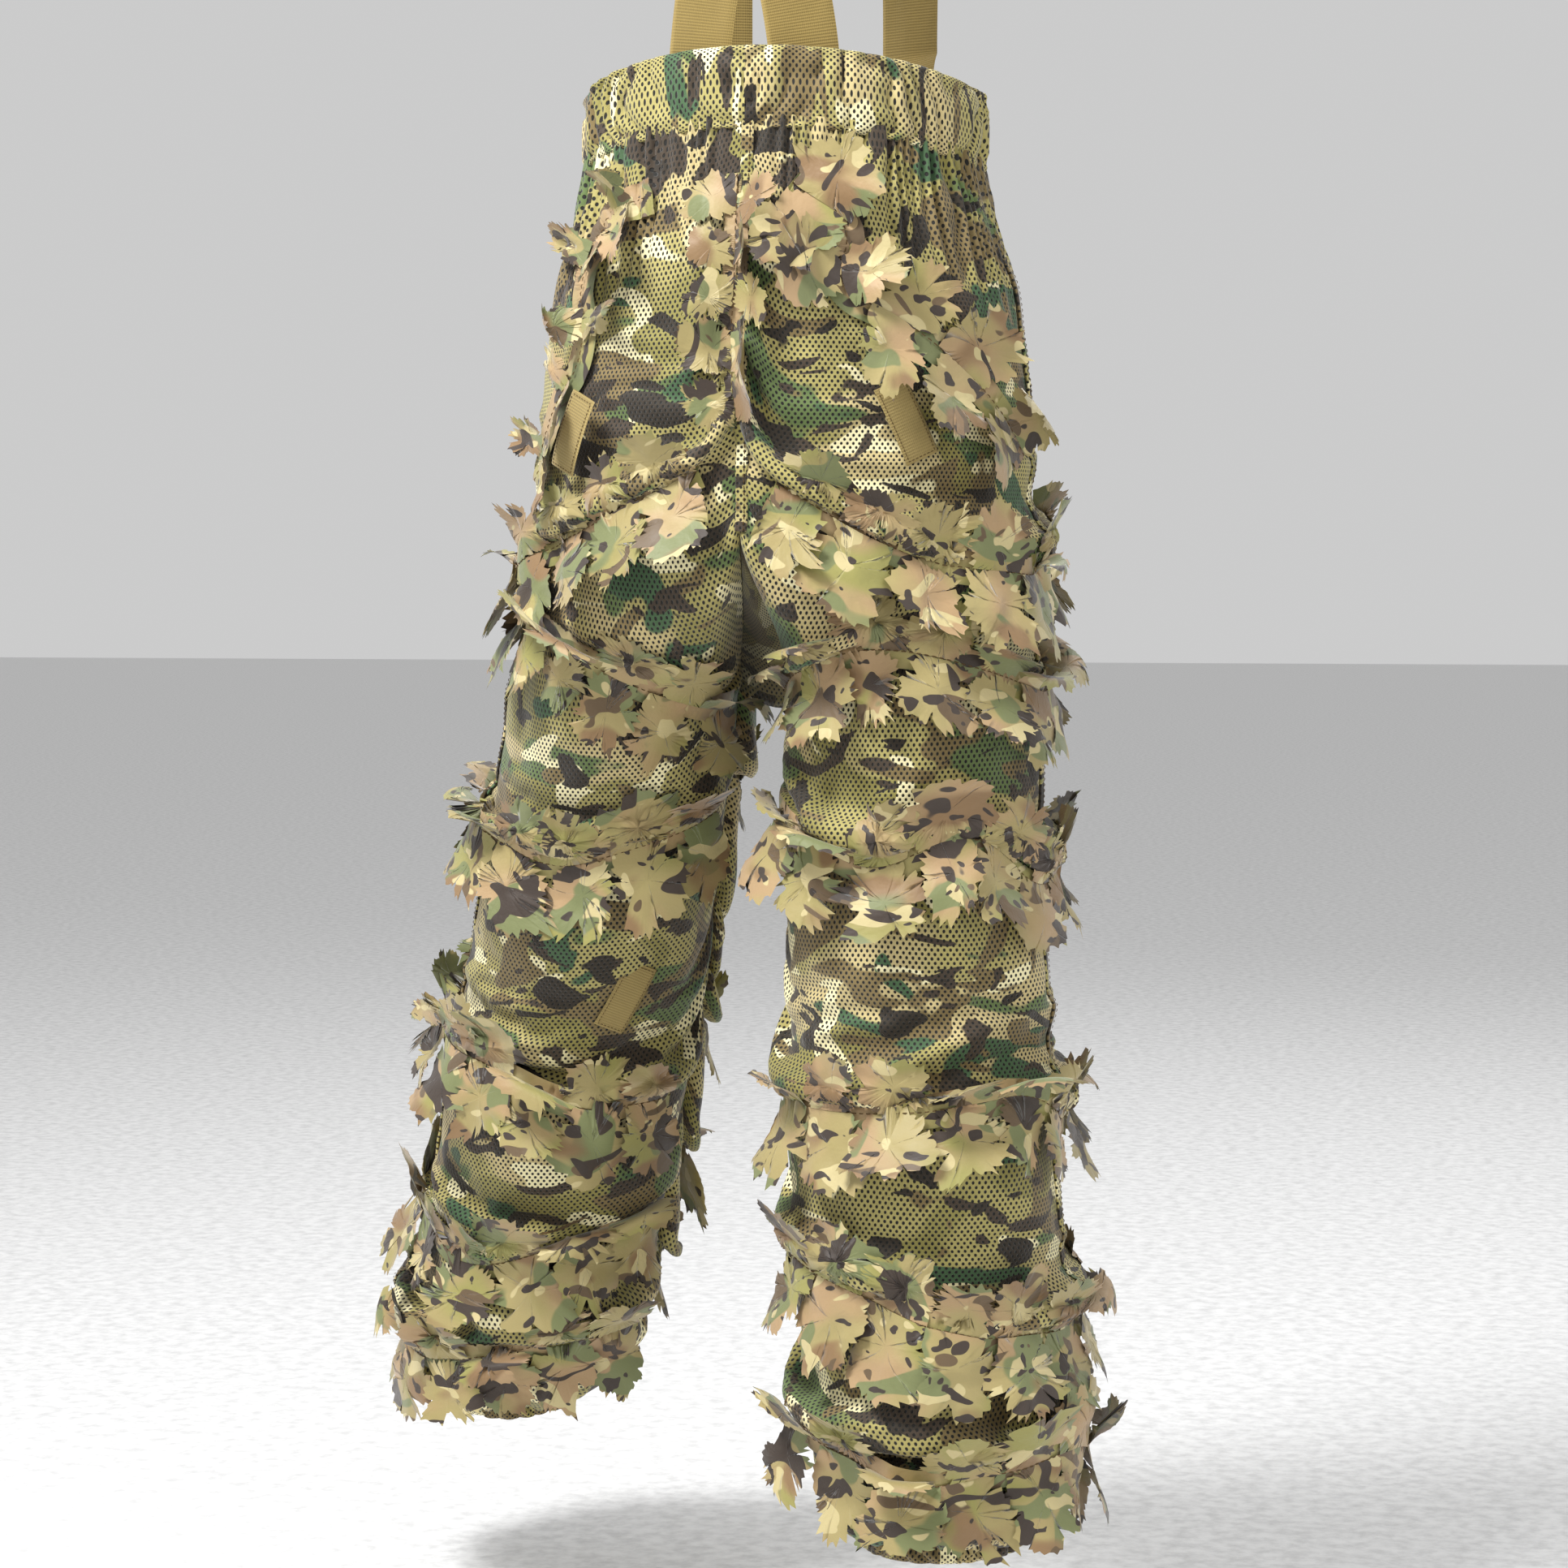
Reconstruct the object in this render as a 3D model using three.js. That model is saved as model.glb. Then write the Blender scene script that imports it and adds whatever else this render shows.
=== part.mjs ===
// Camouflage mesh over-trousers with leaf-cut strips, foliage loops and crossed suspenders.
// Millimetres, +Z up. The origin is the middle of the waistband, where the wearer holds the trousers up.
// The wearer faces +Y and has their right side at +X. The left leg stands a step forward and outward.
import * as THREE from "three";

// Driving dimensions
const PANEL = 3; // thickness that a mesh panel fills with its small folds
const GAP = 0.5; // clearance between neighbours that touch
const HIP_Z = -240; // height of the hip axis
const HIP_R = 145; // the legs start on a cylinder of this radius round the hip axis
const KNEE_S = 400; // distance from the hip axis down the leg to the knee axis
const KNEE_R = 130; // the calves start on a cylinder of this radius round the knee axis
const JOINT_GAP = 5; // clearance between the two sides of a hip or a knee
const LEG_END = 775; // distance from the hip axis down the leg to the top of the hem casing
const HEM_HEIGHT = 28;
const STEP_FORWARD = THREE.MathUtils.degToRad(17.3); // how far the left leg swings forward
const STEP_OUT = Math.sin(THREE.MathUtils.degToRad(12)); // how fast the left leg runs outward
const STEP_DROP = Math.cos(THREE.MathUtils.degToRad(12)); // how fast it runs down meanwhile
const WAISTBAND_TOP = 28;
const WAISTBAND_BOTTOM = -28;
const BACK_RISE = 24; // the waistband is this much higher at the centre back than at the sides
const WEBBING_WIDTH = 50;
const WEBBING = 1.8; // thickness of the suspender webbing
const CROSSING_Z = 205; // height at which the suspenders cross behind the back
const FRONT_X = 74; // the suspenders run straight down the chest at this place
const FRONT_Y = 88;
const ADJUSTER_Z = 120; // foot of the slide adjusters
const WRAP = 0.5; // how far a suspender turns with the side of the body
const LOOP = { width: 25, length: 58, thickness: 1.6 };

// Half width and half depth of the hip section at heights above the origin
const HIP_STATIONS = [
  [40, 143, 103],
  [-30, 145, 104],
  [-110, 170, 118],
  [-200, 183, 124],
  [-400, 184, 120],
];
// Centre line, half width and half depth of a leg at distances down from the hip axis
const LEG_STATIONS = [
  [90, 98, 82, 96],
  [220, 99, 90, 97],
  [400, 103, 95, 92],
  [560, 110, 98, 96],
  [700, 118, 93, 92],
  [750, 120, 78, 80],
  [775, 120, 56, 62],
  [810, 120, 50, 57],
];

const COLOURS = {
  mesh: 0x8a8358,
  darkMesh: 0x4a4530,
  leaf: 0xb5a878,
  webbing: 0xb3a065,
  elastic: 0xd8d4c8,
  buckle: 0x3a372c,
};
const SIDES = [
  { name: "left", sign: -1, forward: STEP_FORWARD, out: STEP_OUT, drop: STEP_DROP },
  { name: "right", sign: 1, forward: 0, out: 0, drop: 1 },
];
const TURN = 2 * Math.PI;

const trousers = new THREE.Group();

function material(colour, roughness = 0.9, metalness = 0) {
  return new THREE.MeshStandardMaterial({ color: colour, roughness, metalness });
}

// Reads a table of stations at a given place, with a straight run between two of them.
function station(table, at) {
  const falling = table[0][0] > table[1][0];
  const after = table.findIndex((row) => (falling ? row[0] <= at : row[0] >= at));
  if (after <= 0) return table[after < 0 ? table.length - 1 : 0].slice(1);
  const [low, high] = [table[after - 1], table[after]];
  const share = (at - low[0]) / (high[0] - low[0]);
  return low.slice(1).map((value, i) => THREE.MathUtils.lerp(value, high[i + 1], share));
}

// Moves every vertex of a geometry to the place that the function gives for it.
function bent(geometry, place) {
  geometry.deleteAttribute("normal");
  geometry.deleteAttribute("uv");
  const position = geometry.getAttribute("position");
  const point = new THREE.Vector3();
  for (let i = 0; i < position.count; i += 1) {
    point.fromBufferAttribute(position, i);
    const moved = place(point.x, point.y, point.z);
    position.setXYZ(i, moved.x, moved.y, moved.z);
  }
  return geometry;
}

// A closed sheet: place gives the point at u along it, w up it and depth below its outer face.
function sheet(columns, rows, place) {
  const box = new THREE.BoxGeometry(1, 1, 1, columns, 1, rows);
  return bent(box, (x, y, z) => place(x + 0.5, z + 0.5, 0.5 - y));
}

function add(group, name, geometry, colour, roughness, metalness) {
  const mesh = new THREE.Mesh(geometry, material(colour, roughness, metalness));
  mesh.name = name;
  group.add(mesh);
  return mesh;
}

// The angle at u on one side of the body: angles run outward from the centre back or the inseam.
function sweep(side, from, to, u) {
  return side.sign > 0 ? to - u * (to - from) : from + u * (to - from);
}

// The waistband and the top of the panels arch up at the centre back.
function backRise(angle) {
  return BACK_RISE * Math.max(0, Math.cos(angle)) ** 1.5 - BACK_RISE / 2;
}

// A point of the hip section: angle 0 is the centre back, PI / 2 the side and PI the centre front.
function hipPoint(side, angle, z, depth, rise = 0) {
  const [width, thick] = station(HIP_STATIONS, z);
  return new THREE.Vector3(
    side.sign * (width - depth) * Math.sin(angle),
    -(thick - depth) * Math.cos(angle),
    z + rise,
  );
}

// A point of a leg section in the leg's frame: angle 0 is the inseam, PI / 2 the back, PI the outer side.
function legPoint(side, angle, s, depth) {
  const [centre, width, thick] = station(LEG_STATIONS, s);
  return new THREE.Vector3(
    side.sign * (centre + side.out * s - (width - depth) * Math.cos(angle)),
    -(thick - depth) * Math.sin(angle),
    -s * side.drop,
  );
}

// Distance down the leg at which its surface meets a cylinder round the axis at distance s.
function rim(side, angle, s, radius) {
  const thick = station(LEG_STATIONS, s + radius)[2];
  const y = thick * Math.sin(angle);
  return s + Math.sqrt(radius ** 2 - y ** 2) / side.drop;
}

function hipRim(z, thick, angle) {
  const y = thick * Math.cos(angle);
  return z - Math.sqrt((HIP_R - JOINT_GAP) ** 2 - y ** 2);
}

// ---- Waistband: a folded casing, open at the foot, over an elastic ----

// A casing section folded over at the top: x is depth from the outside and y is height.
function foldedSection(depth, wall, low, high) {
  const shape = new THREE.Shape();
  shape.moveTo(0, low);
  shape.lineTo(0, high);
  shape.lineTo(depth, high);
  shape.lineTo(depth, low);
  shape.lineTo(depth - wall, low);
  shape.lineTo(depth - wall, high - wall);
  shape.lineTo(wall, high - wall);
  shape.lineTo(wall, low);
  return shape;
}

// Sweeps a section of depth and height round a curve that place describes with depth, height and u.
function swept(shape, steps, place) {
  const straight = new THREE.ExtrudeGeometry(shape, { depth: 1, steps, bevelEnabled: false });
  return bent(straight, (x, y, z) => place(x, y, z));
}

function ringPoint(from, to, u, height, depth) {
  const angle = THREE.MathUtils.lerp(from, to, u);
  const right = { sign: 1 };
  return hipPoint(right, angle, height, depth, backRise(angle));
}

function waistband() {
  const section = foldedSection(7, 1.2, WAISTBAND_BOTTOM, WAISTBAND_TOP);
  const seam = GAP / 2 / 145;
  const halves = [
    ["waistband_back", -Math.PI / 2 + seam, Math.PI / 2 - seam],
    ["waistband_front", Math.PI / 2 + seam, 1.5 * Math.PI - seam],
  ];
  for (const [name, from, to] of halves) {
    const place = (x, y, z) => ringPoint(from, to, z, y, x);
    add(trousers, name, swept(section, 20, place), COLOURS.mesh);
  }
  const band = new THREE.Shape();
  band.moveTo(2.2, WAISTBAND_BOTTOM + 4);
  band.lineTo(2.2, WAISTBAND_TOP - 4);
  band.lineTo(4.8, WAISTBAND_TOP - 4);
  band.lineTo(4.8, WAISTBAND_BOTTOM + 4);
  const place = (x, y, z) => ringPoint(0.005 * Math.PI, 1.995 * Math.PI, z, y, x);
  add(trousers, "waist_elastic", swept(band, 36, place), COLOURS.elastic);
}

// ---- Seat and front panels, from the waistband to the hip cut ----

function hipPanels() {
  const top = WAISTBAND_BOTTOM - GAP;
  const seam = GAP / 2 / 145;
  for (const side of SIDES) {
    const pieces = [
      [`seat_panel_${side.name}`, seam, Math.PI / 2 - seam],
      [`front_panel_${side.name}`, Math.PI / 2 + seam, Math.PI - seam],
    ];
    for (const [name, from, to] of pieces) {
      const place = (u, w, depth) => {
        const angle = sweep(side, from, to, u);
        const low = hipRim(HIP_Z, 121, angle);
        const z = THREE.MathUtils.lerp(low, top, w);
        return hipPoint(side, angle, z, depth * PANEL, w * backRise(angle));
      };
      add(trousers, name, sheet(8, 6, place), COLOURS.mesh);
    }
  }
}

// The gusset is a band through the crotch, from the seat seam to the front seam.
function gusset() {
  const halfWidth = 8;
  const place = (u, w, depth) => {
    const angle = Math.PI * (0.03 + 0.94 * w);
    const x = THREE.MathUtils.lerp(-halfWidth, halfWidth, u);
    const y = -(104 - depth * PANEL) * Math.cos(angle);
    const z = -318 - (94 - depth * PANEL) * Math.sin(angle);
    return new THREE.Vector3(x, y, z);
  };
  add(trousers, "crotch_gusset", sheet(1, 14, place), COLOURS.darkMesh);
}

// ---- Leg panels ----

function legGroup(side) {
  const group = new THREE.Group();
  group.position.set(0, 0, HIP_Z);
  group.rotation.x = side.forward;
  trousers.add(group);
  return group;
}

function legPanels(side, group) {
  const seam = GAP / 2 / 90;
  const halves = [
    ["back", seam, Math.PI - seam],
    ["front", Math.PI + seam, TURN - seam],
  ];
  const top = (angle) => rim(side, angle, 0, HIP_R);
  const kneeAbove = (angle) => rim(side, angle, KNEE_S, KNEE_R - JOINT_GAP);
  const kneeBelow = (angle) => rim(side, angle, KNEE_S, KNEE_R);
  const end = () => LEG_END;
  for (const [half, from, to] of halves) {
    const lengths = [
      ["thigh", top, kneeAbove, 6],
      ["calf", kneeBelow, end, 7],
    ];
    for (const [length, start, stop, rows] of lengths) {
      const place = (u, w, depth) => {
        const angle = sweep(side, from, to, u);
        const s = THREE.MathUtils.lerp(stop(angle), start(angle), w);
        return legPoint(side, angle, s, depth * PANEL);
      };
      add(group, `${length}_${half}_${side.name}`, sheet(12, rows, place), COLOURS.mesh);
    }
  }
}

// A hem is a casing folded over a narrow elastic, sewn into a ring with its seam at the inseam.
function hem(side, group) {
  const section = foldedSection(6, 1.2, 0, HEM_HEIGHT);
  const place = (low) => (x, y, z) => {
    const angle = sweep(side, 0.01, TURN - 0.01, 1 - z);
    return legPoint(side, angle, LEG_END + GAP + HEM_HEIGHT - y - low, x);
  };
  add(group, `hem_casing_${side.name}`, swept(section, 24, place(0)), COLOURS.mesh);
  const band = new THREE.Shape();
  band.moveTo(1.8, 4);
  band.lineTo(1.8, HEM_HEIGHT - 4);
  band.lineTo(4.2, HEM_HEIGHT - 4);
  band.lineTo(4.2, 4);
  add(group, `hem_elastic_${side.name}`, swept(band, 24, place(0)), COLOURS.elastic);
}

// ---- Leaf-cut strips: sewn down the middle, with both edges standing off the cloth ----

const STRIP = { half: 30, thickness: 1.6, standOff: 1, flare: 17 };

// The strip's section as a sheet: w runs up it, and its edges flare outward like a shallow V.
function stripSection(w, depth) {
  const across = 2 * w - 1;
  return {
    height: across * STRIP.half,
    proud: STRIP.standOff + STRIP.flare * Math.abs(across) ** 1.5 + (1 - depth) * STRIP.thickness,
  };
}

// Height of a row of leaves along its run: offsets at the inseam, the middle of the back and the side.
function rowDrop(offsets, angle) {
  const share = (1 - Math.cos(angle)) / 2;
  const curve = new THREE.QuadraticBezierCurve(
    new THREE.Vector2(0, offsets[0]),
    new THREE.Vector2(0.5, 2 * offsets[1] - (offsets[0] + offsets[2]) / 2),
    new THREE.Vector2(1, offsets[2]),
  );
  return curve.getPoint(share).y;
}

function hipRow(side) {
  const [from, to] = [0.14, Math.PI - 0.14];
  const place = (u, w, depth) => {
    const angle = sweep(side, from, to, u);
    const { height, proud } = stripSection(w, depth);
    const drop = 75 * Math.sin(angle) ** 2;
    return hipPoint(side, angle, -238 - drop + height, -proud);
  };
  add(trousers, `leaf_strip_hip_${side.name}`, sheet(16, 2, place), COLOURS.leaf);
}

function legRows(side, group) {
  const rows = [
    ["crotch", 150, [30, -6, -14], 10, 0.9],
    ["thigh", 275, [-10, 20, 10], 3, 0.6],
    ["knee", 455, [-5, 10, 5], 3, 0.5],
    ["calf", 612, [-15, 5, 15], 3, 0.5],
    ["ankle", 712, [-10, 12, 5], 3, 0.5],
  ];
  for (const [name, s, offsets, extra, open] of rows) {
    const place = (u, w, depth) => {
      const angle = sweep(side, open, TURN - open, u);
      const { height, proud } = stripSection(w, depth);
      return legPoint(side, angle, s + rowDrop(offsets, angle) - height, -proud - extra);
    };
    add(group, `leaf_strip_${name}_${side.name}`, sheet(18, 2, place), COLOURS.leaf);
  }
}

// The strips of the seat run down from the waistband, one beside each hip and one on the seat seam.
function seatStrips() {
  const runs = [
    ["leaf_strip_seat_left", SIDES[0], 0.8, 0.56],
    ["leaf_strip_seat_right", SIDES[1], 0.45, 0.75],
    ["leaf_strip_seat_seam", SIDES[1], -0.02, 0.04],
  ];
  for (const [name, side, from, lean] of runs) {
    const [top, low] = [-42, name.endsWith("seam") ? -196 : -190];
    const place = (u, w, depth) => {
      const section = stripSection(u, depth);
      const z = THREE.MathUtils.lerp(low, top, w);
      const angle = from + (1 - w) * lean + (side.sign * -section.height) / 150;
      return hipPoint(side, angle, z, -section.proud, backRise(angle) / 2);
    };
    add(trousers, name, sheet(2, 8, place), COLOURS.leaf);
  }
}

// ---- Foliage loops: flat webbing tabs sewn down at both ends ----

function loop(name, group, place, lean) {
  const tab = add(
    group,
    name,
    new THREE.BoxGeometry(LOOP.width, LOOP.thickness, LOOP.length),
    COLOURS.webbing,
  );
  const centre = place(0, 0);
  const across = place(1, 0).sub(centre).normalize();
  const through = new THREE.Vector3().crossVectors(place(0, 1).sub(centre), across).normalize();
  const down = new THREE.Vector3().crossVectors(across, through);
  tab.quaternion.setFromRotationMatrix(new THREE.Matrix4().makeBasis(across, through, down));
  tab.rotateY(lean);
  tab.position.copy(centre);
}

function loops(legs) {
  const proud = LOOP.thickness / 2 + 1.5;
  for (const side of SIDES) {
    const place = (turn, down) => hipPoint(side, 0.7 + turn * 0.01, -225 - down, -proud);
    loop(`foliage_loop_seat_${side.name}`, trousers, place, 0.42);
  }
  const left = SIDES[0];
  const place = (turn, down) => legPoint(left, 0.98 + turn * 0.01, 410 + down, -proud);
  loop("foliage_loop_calf_left", legs.left, place, 0.5);
}

// ---- Suspenders: webbing from the back of the waistband, crossed, over the shoulder and down ----

// The line of a suspender that starts at the back on one side and ends at the front on the other.
function suspenderLine(sign) {
  const points = [
    [-40, -89, -22],
    [-38, -89, 40],
    [-22, -96, 130],
    [0, -102, CROSSING_Z],
    [34, -98, 290],
    [66, -72, 350],
    [80, -24, 383],
    [84, 30, 382],
    [80, 70, 342],
    [FRONT_X, FRONT_Y, 280],
    [FRONT_X, FRONT_Y, 266],
    [FRONT_X, FRONT_Y, 200],
    [FRONT_X, FRONT_Y, 120],
    [FRONT_X, FRONT_Y, 64],
    [FRONT_X, FRONT_Y, 54],
    [FRONT_X, 77, 28],
    [FRONT_X, 77, -22],
  ];
  return new THREE.CatmullRomCurve3(points.map(([x, y, z]) => new THREE.Vector3(sign * x, y, z)));
}

// From 0 at the crossing behind the back to 1 well away from it.
function awayFromCrossing(point) {
  return point.y > 0 ? 1 : THREE.MathUtils.smoothstep(Math.abs(point.z - CROSSING_Z), 90, 150);
}

// The webbing lies flat on the back, the shoulder and the chest, so its face looks away from them.
function outwardAt(point) {
  const sideways = WRAP * point.x * awayFromCrossing(point);
  return new THREE.Vector3(sideways, point.y, point.z - Math.min(point.z, 300)).normalize();
}

function suspender(side) {
  const line = suspenderLine(side.sign);
  const lift = side.sign > 0 ? 0 : WEBBING + 2 * GAP;
  const place = (u, w, depth) => {
    const centre = line.getPoint(w);
    const along = line.getTangent(w);
    const outward = outwardAt(centre);
    const across = new THREE.Vector3().crossVectors(outward, along).normalize();
    const face = new THREE.Vector3().crossVectors(along, across).normalize();
    const over = lift * (1 - awayFromCrossing(centre));
    return centre
      .addScaledVector(across, (u - 0.5) * WEBBING_WIDTH)
      .addScaledVector(face, over - depth * WEBBING);
  };
  add(trousers, `suspender_${side.name}`, sheet(2, 36, place), COLOURS.webbing);
}

// A square patch holds the crossing together from behind.
function crossPatch() {
  const patch = add(trousers, "cross_patch", new THREE.BoxGeometry(64, 2, 64), COLOURS.webbing);
  patch.position.set(0, -108.5, CROSSING_Z);
}

// A slide adjuster: a flat ring that runs along the straight front of a suspender.
function adjuster(side) {
  const [width, depth, wall] = [62, 9, 3];
  const outline = new THREE.Shape();
  outline.moveTo(-width / 2, -depth / 2);
  outline.lineTo(width / 2, -depth / 2);
  outline.lineTo(width / 2, depth / 2);
  outline.lineTo(-width / 2, depth / 2);
  const slot = new THREE.Path();
  slot.moveTo(-width / 2 + wall, -depth / 2 + wall);
  slot.lineTo(-width / 2 + wall, depth / 2 - wall);
  slot.lineTo(width / 2 - wall, depth / 2 - wall);
  slot.lineTo(width / 2 - wall, -depth / 2 + wall);
  outline.holes.push(slot);
  const ring = new THREE.ExtrudeGeometry(outline, { depth: 24, bevelEnabled: false });
  const mesh = add(trousers, `adjuster_${side.name}`, ring, COLOURS.buckle, 0.5);
  const outward = outwardAt(new THREE.Vector3(side.sign * FRONT_X, FRONT_Y, 0));
  mesh.rotation.z = -Math.atan2(outward.x, outward.y);
  mesh.position.set(side.sign * FRONT_X, FRONT_Y, ADJUSTER_Z).addScaledVector(outward, -WEBBING / 2);
}

waistband();
hipPanels();
gusset();
const legs = {};
for (const side of SIDES) {
  legs[side.name] = legGroup(side);
  legPanels(side, legs[side.name]);
  hem(side, legs[side.name]);
  hipRow(side);
  legRows(side, legs[side.name]);
  suspender(side);
  adjuster(side);
}
seatStrips();
loops(legs);
crossPatch();

export default trousers;
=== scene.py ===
"""Ghillie over-trousers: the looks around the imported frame.

Metres, +Z up, the wearer faces +Y and the wearer's right is +X.
"""

import math

import bpy
import numpy as np
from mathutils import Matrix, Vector
from mathutils.bvhtree import BVHTree


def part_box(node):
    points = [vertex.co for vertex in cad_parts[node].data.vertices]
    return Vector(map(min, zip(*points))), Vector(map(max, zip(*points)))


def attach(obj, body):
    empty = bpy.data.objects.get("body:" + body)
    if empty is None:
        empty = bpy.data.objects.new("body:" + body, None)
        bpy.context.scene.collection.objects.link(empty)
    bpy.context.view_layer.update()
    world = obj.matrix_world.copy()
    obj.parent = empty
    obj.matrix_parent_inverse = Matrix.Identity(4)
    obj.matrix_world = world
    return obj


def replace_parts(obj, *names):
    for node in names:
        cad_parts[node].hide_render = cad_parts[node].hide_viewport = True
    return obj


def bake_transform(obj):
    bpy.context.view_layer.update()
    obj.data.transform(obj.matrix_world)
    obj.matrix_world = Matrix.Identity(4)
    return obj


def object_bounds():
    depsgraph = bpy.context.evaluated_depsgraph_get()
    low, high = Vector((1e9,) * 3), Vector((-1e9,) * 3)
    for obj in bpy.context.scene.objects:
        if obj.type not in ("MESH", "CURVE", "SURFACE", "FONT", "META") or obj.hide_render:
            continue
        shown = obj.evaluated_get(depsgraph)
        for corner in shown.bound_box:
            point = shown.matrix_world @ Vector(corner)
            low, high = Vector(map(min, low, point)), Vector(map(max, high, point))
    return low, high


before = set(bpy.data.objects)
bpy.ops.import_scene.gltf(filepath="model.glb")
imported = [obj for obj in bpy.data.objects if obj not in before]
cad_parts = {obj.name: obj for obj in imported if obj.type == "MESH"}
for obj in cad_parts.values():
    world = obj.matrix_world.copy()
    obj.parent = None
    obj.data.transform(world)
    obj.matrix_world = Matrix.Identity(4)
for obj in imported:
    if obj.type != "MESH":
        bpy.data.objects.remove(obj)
cad_box = [list(corner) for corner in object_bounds()]

# ---- Driving sizes ----

TURN = 2 * math.pi
SIDES = {"left": -1, "right": 1}
HIP_Z = -0.240
STEP_FORWARD = math.radians(17.3)
STEP_SIDE = math.radians(12)
CUT_WIDTH = 0.66
TOP, SPLIT, HEM = 0.020, 0.545, 1.018
COARSE = (73, 131)
FINE = (241, 391)
HIP_TABLE = [(-0.04, 0.143, 0.103), (0.03, 0.145, 0.104), (0.11, 0.170, 0.118), (0.20, 0.183, 0.124), (0.40, 0.184, 0.120)]
LEG_TABLE = [
    (0.00, 0.098, 0.082, 0.096), (0.09, 0.098, 0.082, 0.096), (0.22, 0.099, 0.090, 0.097), (0.40, 0.103, 0.095, 0.092),
    (0.56, 0.110, 0.098, 0.096), (0.70, 0.118, 0.093, 0.092), (0.75, 0.120, 0.078, 0.080), (0.775, 0.120, 0.056, 0.062),
    (0.81, 0.120, 0.050, 0.057),
]
# Rows of leaves as (angle round the leg, depth below the waist).
ROWS = {
    "left": {
        "hip": [(0.28, 0.246), (0.4, 0.253), (0.93, 0.270), (1.51, 0.292), (2.71, 0.321), (3.6, 0.318), (4.6, 0.292), (5.5, 0.262), (6.0, 0.246)],
        "crotch": [(0.35, 0.420), (0.93, 0.388), (1.47, 0.364), (1.98, 0.350), (2.77, 0.346), (3.7, 0.362), (4.6, 0.392), (5.2, 0.380), (5.9, 0.412)],
        "thigh": [(0.44, 0.497), (1.12, 0.507), (1.71, 0.525), (2.16, 0.511), (2.85, 0.506), (3.8, 0.530), (4.7, 0.500), (5.8, 0.512)],
        "knee": [(0.50, 0.737), (1.22, 0.725), (1.72, 0.704), (2.17, 0.695), (2.88, 0.697), (3.7, 0.680), (4.6, 0.705), (5.8, 0.722)],
        "calf": [(0.45, 0.832), (1.22, 0.847), (1.8, 0.878), (2.44, 0.852), (3.3, 0.862), (4.2, 0.838), (5.0, 0.860), (5.8, 0.836)],
        "ankle": [(0.45, 0.940), (1.4, 0.946), (2.07, 0.962), (2.71, 0.968), (3.6, 0.950), (4.6, 0.962), (5.8, 0.944)],
    },
    "right": {
        "hip": [(0.28, 0.255), (0.7, 0.277), (1.16, 0.300), (1.8, 0.317), (2.71, 0.322), (3.4, 0.306), (4.4, 0.288), (5.4, 0.262), (6.0, 0.246)],
        "crotch": [(0.35, 0.412), (0.72, 0.386), (1.2, 0.371), (1.74, 0.374), (2.3, 0.386), (3.1, 0.405), (4.0, 0.380), (5.0, 0.366), (5.9, 0.408)],
        "thigh": [(0.44, 0.487), (1.05, 0.508), (1.49, 0.529), (1.82, 0.512), (2.15, 0.497), (2.9, 0.545), (3.8, 0.512), (4.7, 0.530), (5.8, 0.500)],
        "knee": [(0.45, 0.698), (1.44, 0.701), (1.93, 0.694), (2.56, 0.684), (2.98, 0.716), (3.9, 0.690), (4.8, 0.706), (5.8, 0.690)],
        "calf": [(0.45, 0.806), (1.32, 0.832), (1.8, 0.853), (2.3, 0.861), (2.98, 0.868), (3.9, 0.838), (4.8, 0.852), (5.8, 0.820)],
        "ankle": [(0.45, 0.930), (1.19, 0.952), (1.6, 0.966), (2.15, 0.956), (2.83, 0.945), (3.8, 0.962), (4.8, 0.946), (5.8, 0.938)],
    },
}

# ---- Small tools ----


def ramp(x, low, high):
    t = np.clip((np.asarray(x, float) - low) / (high - low), 0, 1)
    return t * t * (3 - 2 * t)


def column(table, index, width):
    """A column of a station table as a smooth function of its first column."""
    rows = np.array(table)
    at = np.linspace(rows[0, 0] - 0.1, rows[-1, 0] + 0.1, 1200)
    values = np.interp(at, rows[:, 0], rows[:, index])
    half = max(1, int(width / (at[1] - at[0])))
    padded = np.pad(values, half, mode="edge")
    values = np.convolve(padded, np.ones(2 * half + 1) / (2 * half + 1), "valid")
    return lambda s: np.interp(s, at, values)


hip_width, hip_depth = (column(HIP_TABLE, k, 0.03) for k in (1, 2))
leg_centre, leg_width, leg_depth = (column(LEG_TABLE, k, 0.012) for k in (1, 2, 3))


def noise(u, v, seed, octaves=2):
    """Smooth noise of two coordinates, about -1 to 1, one cell per unit."""
    u, v = np.broadcast_arrays(np.asarray(u, float), np.asarray(v, float))
    total, size, scale = np.zeros(u.shape), 1.0, 1.0
    for octave in range(octaves):
        values = np.random.default_rng(seed * 31 + octave).uniform(-1, 1, (64, 64))
        x, y = u * scale, v * scale
        i, j = np.floor(x).astype(int), np.floor(y).astype(int)
        fx, fy = x - i, y - j
        fx, fy = fx * fx * (3 - 2 * fx), fy * fy * (3 - 2 * fy)
        a, b = values[i % 64, j % 64], values[(i + 1) % 64, j % 64]
        c, d = values[i % 64, (j + 1) % 64], values[(i + 1) % 64, (j + 1) % 64]
        total += size * ((a * (1 - fx) + b * fx) * (1 - fy) + (c * (1 - fx) + d * fx) * fy)
        size, scale = size / 2, scale * 2
    return total


def unit(v):
    return v / np.maximum(np.linalg.norm(v, axis=-1, keepdims=True), 1e-12)


def grid_normals(points):
    across = np.gradient(points, axis=0)
    down = np.gradient(points, axis=1)
    return unit(np.cross(across, down))


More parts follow.
